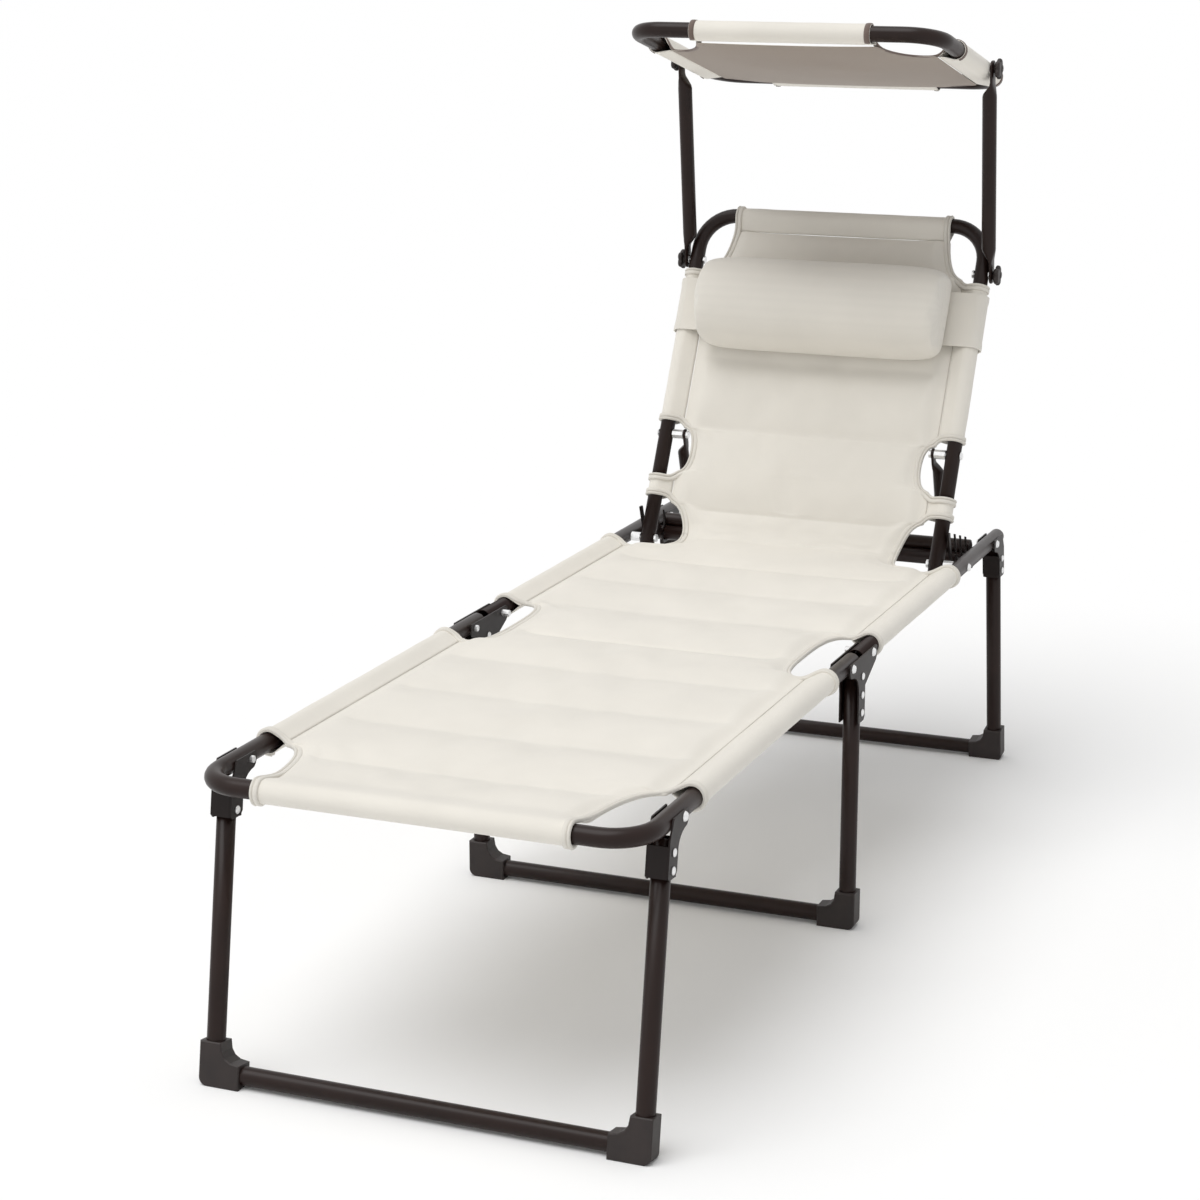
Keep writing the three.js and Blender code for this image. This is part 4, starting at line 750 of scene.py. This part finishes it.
def loft(bm, rings, capped=True):
    """A skin through closed rings of points, each extruded from the last; its UVs are metres of flat cut."""
    layout = bm.loops.layers.uv.get("cut") or bm.loops.layers.uv.new("cut")
    count = len(rings[0])
    girth = [0.0]
    for a, b in zip(rings[0], rings[0][1:] + rings[0][:1]):
        girth.append(girth[-1] + (b - a).length)
    ring = bmesh.ops.create_circle(bm, segments=count, radius=1.0)["verts"]
    skins, flat_of, run = [], {}, 0.0
    for i, places in enumerate(rings):
        if i:
            ring = next_ring(bm, ring)
            run += (places[0] - rings[i - 1][0]).length
        for k, (vert, spot) in enumerate(zip(ring, places)):
            vert.co = spot
            flat_of[vert] = (k, run)
        skins.append(ring)
    for face in {f for ring in skins for v in ring for f in v.link_faces}:
        closing = {flat_of[v][0] for v in face.verts} == {0, count - 1}
        for loop in face.loops:
            k, along = flat_of[loop.vert]
            loop[layout].uv = (girth[count if closing and k == 0 else k], along)
    if capped:
        for ring in (skins[0], skins[-1]):
            edges = [bm.edges.get((a, b)) for a, b in zip(ring, ring[1:] + ring[:1])]
            bmesh.ops.contextual_create(bm, geom=edges)


def drop_section(tip_lift):
    """The sleeve's section as (outwards, up) from its tube's axis: seam, over the top and back beneath."""
    inset = SEAM_INSET - SLEEVE_SLACK
    middle = math.atan2(tip_lift, -inset) % (2 * math.pi)
    spread = math.acos(SLEEVE_RADIUS / math.hypot(inset, tip_lift))
    first, last = middle - spread, middle + spread - 2 * math.pi
    curve = [(SLEEVE_RADIUS * math.cos(turn) - SLEEVE_SLACK, SLEEVE_RADIUS * math.sin(turn))
             for turn in spaced(first, last, steps=26)]
    tip = (-SEAM_INSET, tip_lift)
    shares = [i / SLEEVE_FLANK for i in range(SLEEVE_FLANK)]
    upper = [tuple(p * (1 - s) + q * s for p, q in zip(tip, curve[0])) for s in shares]
    under = [tuple(p * (1 - s) + q * s for p, q in zip(curve[-1], tip)) for s in shares[1:]]
    return upper + curve + under


SLEEVE_SECTION = drop_section(SEAM_LIFT)


def sleeve_piece(name, body, start, end, outward, up, section=SLEEVE_SECTION):
    """A sleeve from start to end along its tube, slightly rippled, with its wall inwards."""
    steps = max(6, round((end - start).length / SLEEVE_STEP))
    rings = []
    for i in range(steps + 1):
        axis = start + (end - start) * (i / steps)
        ring = []
        for a, b in section:
            spot = axis + outward * a + up * b
            ripple = noise.noise(Vector((spot.x * 30, spot.y * 18, spot.z * 40))) * SLEEVE_RIPPLE
            ring.append(spot + (outward * a + up * b).normalized() * ripple)
        rings.append(ring)
    bm = bmesh.new()
    loft(bm, rings, capped=False)
    piece = hollow(add_piece(name, bm, sling_fabric), SLING_WALL)
    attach(piece, body)


UP = Vector((0, 0, 1))
SIDEWAYS = Vector((1, 0, 0))
FOOT_SLEEVE = (-0.660, -0.113)
SEAT_SLEEVE = (0.097, 0.545)
BACK_BAND = (0.074, 0.112)
BACK_SLEEVE = (0.209, 0.486)
TOP_HALF = 0.193
for side, label in ((-1, "left"), (1, "right")):
    for kind, body, point, half, ends, up in (
        ("foot_sleeve", "foot_frame", bed, RAIL_X, FOOT_SLEEVE, UP),
        ("seat_sleeve", "seat_frame", bed, RAIL_X, SEAT_SLEEVE, UP),
        ("back_band", "backrest", back, BACK_X, BACK_BAND, out_of_back),
        ("back_sleeve", "backrest", back, BACK_X, BACK_SLEEVE, out_of_back),
    ):
        start, end = (point(side * half, place) for place in ends)
        sleeve_piece(f"{kind}_{label}", body, start, end, SIDEWAYS * side, up)
top_ends = back(-TOP_HALF, BACK_LENGTH), back(TOP_HALF, BACK_LENGTH)
sleeve_piece("top_sleeve", "backrest", *top_ends, along_back, out_of_back)

# Hems. Every free edge of the cover is folded over and piped: a 10 mm band with a stitched groove beside its
# piping. A hem starts round one sleeve's end, runs along the cut-out and ends round the next sleeve's end.
HEM_LIFT = 0.0022
CUT_STEPS = 16
HEM_SECTION = (
    (-0.0114, -0.0006), (-0.0112, 0.0026), (-0.0100, 0.0036), (-0.0062, 0.0036), (-0.0050, 0.0028),
    (-0.0044, 0.0008), (-0.0038, 0.0030), (-0.0025, 0.0042), (-0.0008, 0.0034), (0.0002, 0.0010),
    (-0.0007, -0.0014), (-0.0024, -0.0022), (-0.0084, -0.0022), (-0.0106, -0.0014),
)


def hem_along(bm, path, side, section):
    """Sweep the hem along a path of (point, way up), drawn for the right side, its free edge to the right."""
    rings = []
    for i, (point, up) in enumerate(path):
        ahead = (path[min(i + 1, len(path) - 1)][0] - path[max(i - 1, 0)][0]).normalized()
        across = ahead.cross(up).normalized()
        up = across.cross(ahead)
        spots = [point + across * a + up * b for a, b in section]
        rings.append([Vector((p.x * side, p.y, p.z)) for p in spots])
    loft(bm, rings)


def round_sleeve(axis, outward, up, inwards, section=SLEEVE_SECTION):
    """The hem's path round a sleeve's end, from beneath over the outside to the seam, or the other way."""
    path = []
    for i, (a, b) in enumerate(section[1:-SLEEVE_FLANK - 2], 1):
        round_a, round_b = section[max(i, SLEEVE_FLANK)]
        way = outward * (round_a + SLEEVE_SLACK) + up * round_b
        path.append((axis + outward * a + up * b, way.normalized()))
    return list(reversed(path)) if inwards else path


def along_cut(runs):
    """The hem's path along the sling's free edge; at the front it rises to the top of the front sleeve."""
    path = []
    for run in runs:
        lift = HEM_LIFT + (SLEEVE_RADIUS - HEM_LIFT) * front_rise(run)
        path.append(sling_at(sling_half(run), run, lift))
    return path


def cut_runs(cut, opening):
    """Runs along one corner of a cut-out, close together where it turns; opening goes from narrow to wide."""
    wide_run, narrow_run, _, _, power = cut
    shares = [math.sin(math.pi / 2 * i / CUT_STEPS) ** (2 / power) for i in range(CUT_STEPS + 1)]
    runs = [narrow_run + (wide_run - narrow_run) * share for share in shares]
    return runs if opening else list(reversed(runs))


def front_wrap():
    """The hem's path round the front tube's sleeve, from beneath up to the top."""
    return [sling_at(FRONT_HALF, run, SLEEVE_RADIUS) for run in spaced(WRAP_END, FRONT_TUBE, steps=18)[:-1]]


def settle(path):
    """Ease the corners where parts of a hem's path meet."""
    for _ in range(3):
        eased = [((a[0] + b[0] * 2 + c[0]) / 4, (a[1] + b[1] * 2 + c[1]).normalized())
                 for a, b, c in zip(path, path[1:], path[2:])]
        path = [path[0], *eased, path[-1]]
    return path


def cut_path(first_end, low_cut, high_cut, last_end):
    """The hem's path round one cut-out, from one sleeve's end to the next one's."""
    runs = cut_runs(low_cut, False) + cut_runs(high_cut, True)[1:]
    return settle(first_end + along_cut(runs) + last_end)


def rail_end(place, inwards):
    return round_sleeve(bed(RAIL_X, place), SIDEWAYS, UP, inwards)


def rest_end(reach, inwards):
    return round_sleeve(back(BACK_X, reach), SIDEWAYS, out_of_back, inwards)


front_cut, hinge_low, hinge_high, bend_low, bend_high, prop_low, prop_high, top_cut = CUTS
front_path = front_wrap() + along_cut(cut_runs(front_cut, True)) + rail_end(FOOT_SLEEVE[0], False)
hinge_path = cut_path(rail_end(FOOT_SLEEVE[1], True), hinge_low, hinge_high, rail_end(SEAT_SLEEVE[0], False))
bend_path = cut_path(rail_end(SEAT_SLEEVE[1], True), bend_low, bend_high, rest_end(BACK_BAND[0], False))
prop_path = cut_path(rest_end(BACK_BAND[1], True), prop_low, prop_high, rest_end(BACK_SLEEVE[0], False))
top_path = rest_end(BACK_SLEEVE[1], True) + along_cut([r for r in cut_runs(top_cut, False) if r < TOP_SEAM])
top_path += round_sleeve(top_ends[1], along_back, out_of_back, False)


def split_at(path, where, ahead):
    """Cut a hem's path in two where it crosses a plane."""
    count = next(i for i, (point, _) in enumerate(path) if (point - where).dot(ahead) > 0)
    (near_point, near_up), (far_point, far_up) = path[count - 1:count + 1]
    gone = (where - near_point).dot(ahead) / (far_point - near_point).dot(ahead)
    middle = (near_point.lerp(far_point, gone), near_up.lerp(far_up, gone).normalized())
    return path[:count] + [middle], [middle] + path[count:]


def hem_piece(name, paths, material=binding_fabric, section=HEM_SECTION):
    bm = bmesh.new()
    for path in paths:
        for side in (-1, 1):
            hem_along(bm, path, side, section)
    return add_piece(name, bm, material)


hinge_front, hinge_rear = split_at(hinge_path, bed(0, HINGE_SEAM), Vector((0, 1, 0)))
crease_way = Vector((0, math.cos(BACK_ANGLE / 2), math.sin(BACK_ANGLE / 2)))
bend_front, bend_rear = split_at(bend_path, sling_at(0, BACK_PIVOT)[0], crease_way)
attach(hem_piece("front_hem", [settle(front_path)]), "foot_frame")
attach(hem_piece("back_hem", [prop_path, settle(top_path)]), "backrest")
hinge_front_hem = hem_piece("hinge_front_hem", [hinge_front])
hinge_rear_hem = hem_piece("hinge_rear_hem", [hinge_rear])
bend_front_hem = hem_piece("bend_front_hem", [bend_front])
bend_rear_hem = hem_piece("bend_rear_hem", [bend_rear])
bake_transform(hinge_front_hem)
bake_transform(hinge_rear_hem)
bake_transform(bend_front_hem)
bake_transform(bend_rear_hem)

# Head roll. A foam half-round in a slightly darker cover, lying across the backrest on its strap.
# Its cover is drawn over nearly flat ends and swells a little between the edges.
ROLL_HALF = 0.217
ROLL_REACH = 0.420
ROLL_BASE = 0.0190
ROLL_DEPTH = 0.096
ROLL_HIGH = 0.080
ROLL_CROWN = 40
ROLL_SIDES = 60
ROLL_SQUARE = 8
roll_fabric = woven_fabric("cream_roll_fabric", toned(CREAM, 0.95), contrast=0.05)


def roll_ring(share):
    """The D-shaped section at a share of the half length, drawn together towards the ends."""
    swell = max((1 - abs(share) ** ROLL_SQUARE) ** (1 / ROLL_SQUARE), 0.03)
    ring = []
    for j in range(ROLL_SIDES):
        if j < ROLL_CROWN:
            angle = math.pi * j / ROLL_CROWN
            along, out = ROLL_HIGH * math.cos(angle), ROLL_DEPTH * math.sin(angle) ** 0.8
        else:
            spot = (j - ROLL_CROWN) / (ROLL_SIDES - ROLL_CROWN)
            along, out = ROLL_HIGH * (2 * spot - 1), -0.001 * math.sin(math.pi * spot)
        gather = 0.0010 * abs(share) ** 6 * math.sin(along * 160 + out * 90)
        middle = ROLL_DEPTH * 0.42
        out = middle + (out - middle) * (swell + (gather / ROLL_DEPTH if out > 0.004 else 0.0))
        ring.append(back(ROLL_HALF * share, ROLL_REACH + along * swell, ROLL_BASE + out))
    return ring


def fixed_order(bm):
    """Sort edges and faces: extruding orders them anew each run, and the swelling would follow that."""
    bm.verts.index_update()
    count = len(bm.verts)

    def rank(part):
        ids = sorted(v.index for v in part.verts)
        return (ids[0] * count + ids[1]) * count + ids[-1]

    bm.edges.sort(key=rank)
    bm.faces.sort(key=rank)


roll_shape = bmesh.new()
loft(roll_shape, [roll_ring(math.sin(turn)) for turn in spaced(-math.pi / 2, math.pi / 2, steps=56)])
fixed_order(roll_shape)
head_cushion = add_piece("head_cushion", roll_shape, roll_fabric)
resting = [(v.co - back(0, 0)).dot(out_of_back) < ROLL_BASE + 0.004 for v in head_cushion.data.vertices]
for vert, spot in zip(head_cushion.data.vertices, puff(head_cushion, 4.0, resting, cap=0.004)):
    vert.co = spot
soften(head_cushion)
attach(head_cushion, "backrest")
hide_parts("head_roll")

# Roll strap. A flat tie that runs across under the roll and round both backrest tubes, thicker at its hems.
# Its loops slide on the tubes, so the roll can be set higher or lower.
STRAP_LOW = 0.373
STRAP_HIGH = 0.467
STRAP_RING = 0.0170
STRAP_HEM = 0.009
STRAP_SPAN = 48
STRAP_STEP = 0.0115
strap_turns = spaced(0, math.pi, steps=24)
strap_loop = [(STRAP_RING * math.sin(turn), STRAP_RING * math.cos(turn)) for turn in strap_turns]
strap_path = [(BACK_X + out, lift) for out, lift in reversed(strap_loop)]
strap_path += [(BACK_X * (1 - 2 * i / STRAP_SPAN), STRAP_RING) for i in range(1, STRAP_SPAN)]
strap_path += [(-BACK_X - out, lift) for out, lift in strap_loop]
strap_rows = [[], [], []]
for reach in spaced(STRAP_LOW, STRAP_HIGH, steps=12):
    hemmed = min(reach - STRAP_LOW, STRAP_HIGH - reach) < STRAP_HEM
    for k, swell in enumerate((0.0024 if hemmed else 0.0015, 0.0)):
        row = []
        for x, lift in strap_path:
            away = Vector((max(abs(x) - BACK_X, 0.0) * math.copysign(1, x), lift)).normalized()
            row.append(back(x + away.x * swell, reach, lift + away.y * swell))
        strap_rows[k].append(row)
    strap_rows[2].append([(j * STRAP_STEP, reach) for j in range(len(strap_path))])
strap = layered("roll_strap_band", *strap_rows, roll_fabric, "roll_fabric")
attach(strap, "backrest")
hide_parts("roll_strap")

# Sunshade cloth. One layer stretched under the hoop, with sleeves on all four sides and taupe tape round its
# cut corners. Its underside is coloured darker, painted shade for the shade that falls under the cloth, and
# the weight of the cloth lets its middle hang a little.
SHADE_SAG = 0.014
SHADE_WALL = 0.0012
SHADE_TIP = -0.0120
SHADE_FRONT_HALF = 0.150
SHADE_REAR_HALF = 0.147
SHADE_SIDE = (HOOP_FRONT - 0.376, HOOP_FRONT - 0.123)
SHADE_COLUMNS = 52
SHADE_RIPPLE = 0.0016
SHADE_CUTS = (
    (SHADE_SIDE[1] + 0.008, HOOP_FRONT - 0.010, BACK_SEAM, SHADE_FRONT_HALF, 1.8),
    (SHADE_SIDE[0] - 0.008, HOOP_REAR + 0.004, BACK_SEAM, SHADE_REAR_HALF, 1.8),
)
TAPE_SECTION = (
    (-0.0092, -0.0006), (-0.0090, 0.0012), (-0.0050, 0.0016), (-0.0008, 0.0014), (0.0, 0.0),
    (-0.0008, -0.0014), (-0.0050, -0.0016), (-0.0090, -0.0014),
)
shade_section = drop_section(SHADE_TIP)
# the darker underside colour given here is painted shade for the shade that falls under the sunshade
shade_fabric = woven_fabric("cream_shade_fabric", toned(CREAM, 1.02), underside_shade=(0.26, 0.205, 0.160))
taupe_fabric = woven_fabric("taupe_binding_tape", (0.16, 0.118, 0.10), thread=0.0007)


def shade_half(reach):
    """Half width of the panel between its side seams, cut in round the hoop's bends."""
    for wide_reach, narrow_reach, wide, narrow, power in SHADE_CUTS:
        share = (reach - narrow_reach) / (wide_reach - narrow_reach)
        if 0 <= share <= 1:
            return narrow + (wide - narrow) * cut_share(share, power)
    return BACK_SEAM


def shade_lift(x, reach):
    across = 1 - min(abs(x) / BACK_SEAM, 1.0) ** 2
    span = (reach - HOOP_REAR) / (HOOP_FRONT - HOOP_REAR)
    ripple = noise.noise(Vector((x * 9, reach * 11, 0.3))) * SHADE_RIPPLE
    return SHADE_TIP - (SHADE_SAG + ripple) * across * (1 - (2 * span - 1) ** 2)


shade_stops = spaced(HOOP_REAR + SEAM_INSET, HOOP_FRONT - SEAM_INSET, steps=44)
shade_stops += [SHADE_CUTS[0][0] - 0.0005, SHADE_CUTS[1][0] + 0.0005]
shade_rows = [[], [], []]
for reach in sorted(shade_stops):
    spots = [shade_half(reach) * (2 * j / SHADE_COLUMNS - 1) for j in range(SHADE_COLUMNS + 1)]
    shade_rows[0].append([shade(x, reach, shade_lift(x, reach)) for x in spots])
    shade_rows[1].append([shade(x, reach, shade_lift(x, reach) - SHADE_WALL) for x in spots])
    shade_rows[2].append([(x, reach) for x in spots])
sunshade = layered("sunshade_panel", *shade_rows, shade_fabric, "shade_cloth")
soften(sunshade)
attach(sunshade, "canopy")
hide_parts("canopy_cloth")
shade_paths = []
for label, way, half, end_reach, side_reach, cut in (
    ("front", 1, SHADE_FRONT_HALF, HOOP_FRONT, SHADE_SIDE[1], SHADE_CUTS[0]),
    ("rear", -1, SHADE_REAR_HALF, HOOP_REAR, SHADE_SIDE[0], SHADE_CUTS[1]),
):
    start, end = (shade(side * half, end_reach) for side in (-1, 1))
    sleeve_piece(f"shade_{label}_sleeve", "canopy", start, end, along_hoop * way, over_hoop, shade_section)
    corner = round_sleeve(end, along_hoop * way, over_hoop, way > 0, shade_section)
    flank = round_sleeve(shade(BACK_X, side_reach), SIDEWAYS, over_hoop, way < 0, shade_section)
    edge = []
    for reach in cut_runs(cut, way > 0):
        if HOOP_REAR + SEAM_INSET < reach < HOOP_FRONT - SEAM_INSET:
            x = shade_half(reach)
            edge.append((shade(x, reach, shade_lift(x, reach)), over_hoop))
    shade_paths.append(settle(corner + edge + flank if way > 0 else flank + edge + corner))
for side, label in ((-1, "left"), (1, "right")):
    start, end = (shade(side * BACK_X, reach) for reach in SHADE_SIDE)
    sleeve_piece(f"shade_sleeve_{label}", "canopy", start, end, SIDEWAYS * side, over_hoop, shade_section)
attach(hem_piece("shade_tape", shade_paths, taupe_fabric, TAPE_SECTION), "canopy")

# Star knobs. Black moulded knobs with five soft lobes and a short hub, one on each clamping bolt.
# They are tightened by hand to hold the sunshade where it is set.
KNOB_RADIUS = 0.0175
HUB_RADIUS = 0.0075
KNOB_INNER = 0.2758
HUB_END = 0.2795
KNOB_OUTER = 0.2870
KNOB_SIDES = 60
KNOB_LOBES = 5
LOBE_DEPTH = 0.26
KNOB_PROFILE = (
    # distance from the middle, radius, and how far the lobes show there
    (KNOB_INNER, HUB_RADIUS - 0.0006, 0), (KNOB_INNER + 0.0006, HUB_RADIUS, 0),
    (HUB_END - 0.0003, HUB_RADIUS, 0), (HUB_END, HUB_RADIUS + 0.0006, 0),
    (HUB_END, KNOB_RADIUS - 0.0016, 1), (HUB_END + 0.0014, KNOB_RADIUS, 1),
    (KNOB_OUTER - 0.0030, KNOB_RADIUS, 1), (KNOB_OUTER - 0.0010, KNOB_RADIUS - 0.0012, 1),
    (KNOB_OUTER, KNOB_RADIUS - 0.0030, 1), (KNOB_OUTER, 0.0062, 0), (KNOB_OUTER - 0.0006, 0.0054, 0),
)
for part, centre in (("arm", arm_pivot), ("canopy", hoop_pivot)):
    for side, label in ((-1, "left"), (1, "right")):
        rings = []
        for x, radius, lobed in KNOB_PROFILE:
            ring = []
            for k in range(KNOB_SIDES):
                angle = 2 * math.pi * k / KNOB_SIDES
                dip = 1 - (0.5 + 0.5 * math.cos(KNOB_LOBES * angle)) ** 0.6
                reach = radius * (1 - LOBE_DEPTH * dip * lobed)
                ring.append(centre + Vector((side * x, math.cos(angle) * reach, math.sin(angle) * reach)))
            rings.append(ring)
        knob_shape = bmesh.new()
        loft(knob_shape, rings)
        knob = add_piece(f"{part}_star_knob_{label}", knob_shape, black_plastic)
        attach(knob, f"{part}_knob_{label}")
        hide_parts(f"{part}_knob_{label}")

# Studio. A white floor before a white backdrop, a soft high key from the foot end and a weak fill.
# The camera stands at the foot end's right, as in the photo.
FLOOR_HALF = 30
WHITE = (1, 1, 1, 1)
floor_shape = bmesh.new()
bmesh.ops.create_grid(floor_shape, x_segments=1, y_segments=1, size=FLOOR_HALF)
floor_mesh = bpy.data.meshes.new("floor")
floor_shape.to_mesh(floor_mesh)
floor_shape.free()
floor = add_object("floor", floor_mesh)
floor_paint, _, floor_shader, _ = new_material("floor_paint")
feed(floor_shader, {"Base Color": (0.95, 0.95, 0.95, 1), "Roughness": 0.9, "Specular IOR Level": 0.0})
floor_mesh.materials.append(floor_paint)

key_lamp = bpy.data.lights.new("key_light", "SUN")
key_lamp.energy = 1.85
key_lamp.angle = math.radians(50)
key_light = add_object("key_light", key_lamp)
key_light.rotation_euler = Vector((0.22, 0.30, -1)).to_track_quat("-Z", "Y").to_euler()
fill_lamp = bpy.data.lights.new("fill_light", "AREA")
fill_lamp.shape = "DISK"
fill_lamp.size = 2.0
fill_lamp.energy = 5
fill_light = add_object("fill_light", fill_lamp)
fill_light.location = (-2.2, -3.2, 1.8)
fill_light.rotation_euler = (Vector((0, 0, 0.7)) - fill_light.location).to_track_quat("-Z", "Y").to_euler()

# the backdrop is full white where it is seen, and dimmer where it lights the lounger
world = bpy.data.worlds.new("backdrop")
bpy.context.scene.world = world
world.use_nodes = True
sky = world.node_tree
lit = sky.nodes["Background"]
feed(lit, {"Color": WHITE, "Strength": 0.50})
seen = add_node(sky, "ShaderNodeBackground", {"Color": WHITE, "Strength": 1.0})
rays = sky.nodes.new("ShaderNodeLightPath").outputs
sight = rays["Is Camera Ray"]
for ray in ("Is Glossy Ray", "Is Transmission Ray"):
    sight = add_node(sky, "ShaderNodeMath", {0: sight, 1: rays[ray]}, operation="MAXIMUM").outputs["Value"]
shown = {"Fac": sight, 1: lit.outputs["Background"], 2: seen.outputs["Background"]}
backdrop = add_node(sky, "ShaderNodeMixShader", shown)
feed(sky.nodes["World Output"], {"Surface": backdrop.outputs["Shader"]})

eye = bpy.data.cameras.new("camera")
eye.lens = 82.11
eye.sensor_width = 36
eye_holder = add_object("camera", eye)
eye_holder.location = (1.398, -3.7146, 1.5)
eye_holder.rotation_euler = (math.radians(75.34), 0, math.radians(22.17))
bpy.context.scene.camera = eye_holder
bpy.context.scene.view_settings.view_transform = "Standard"
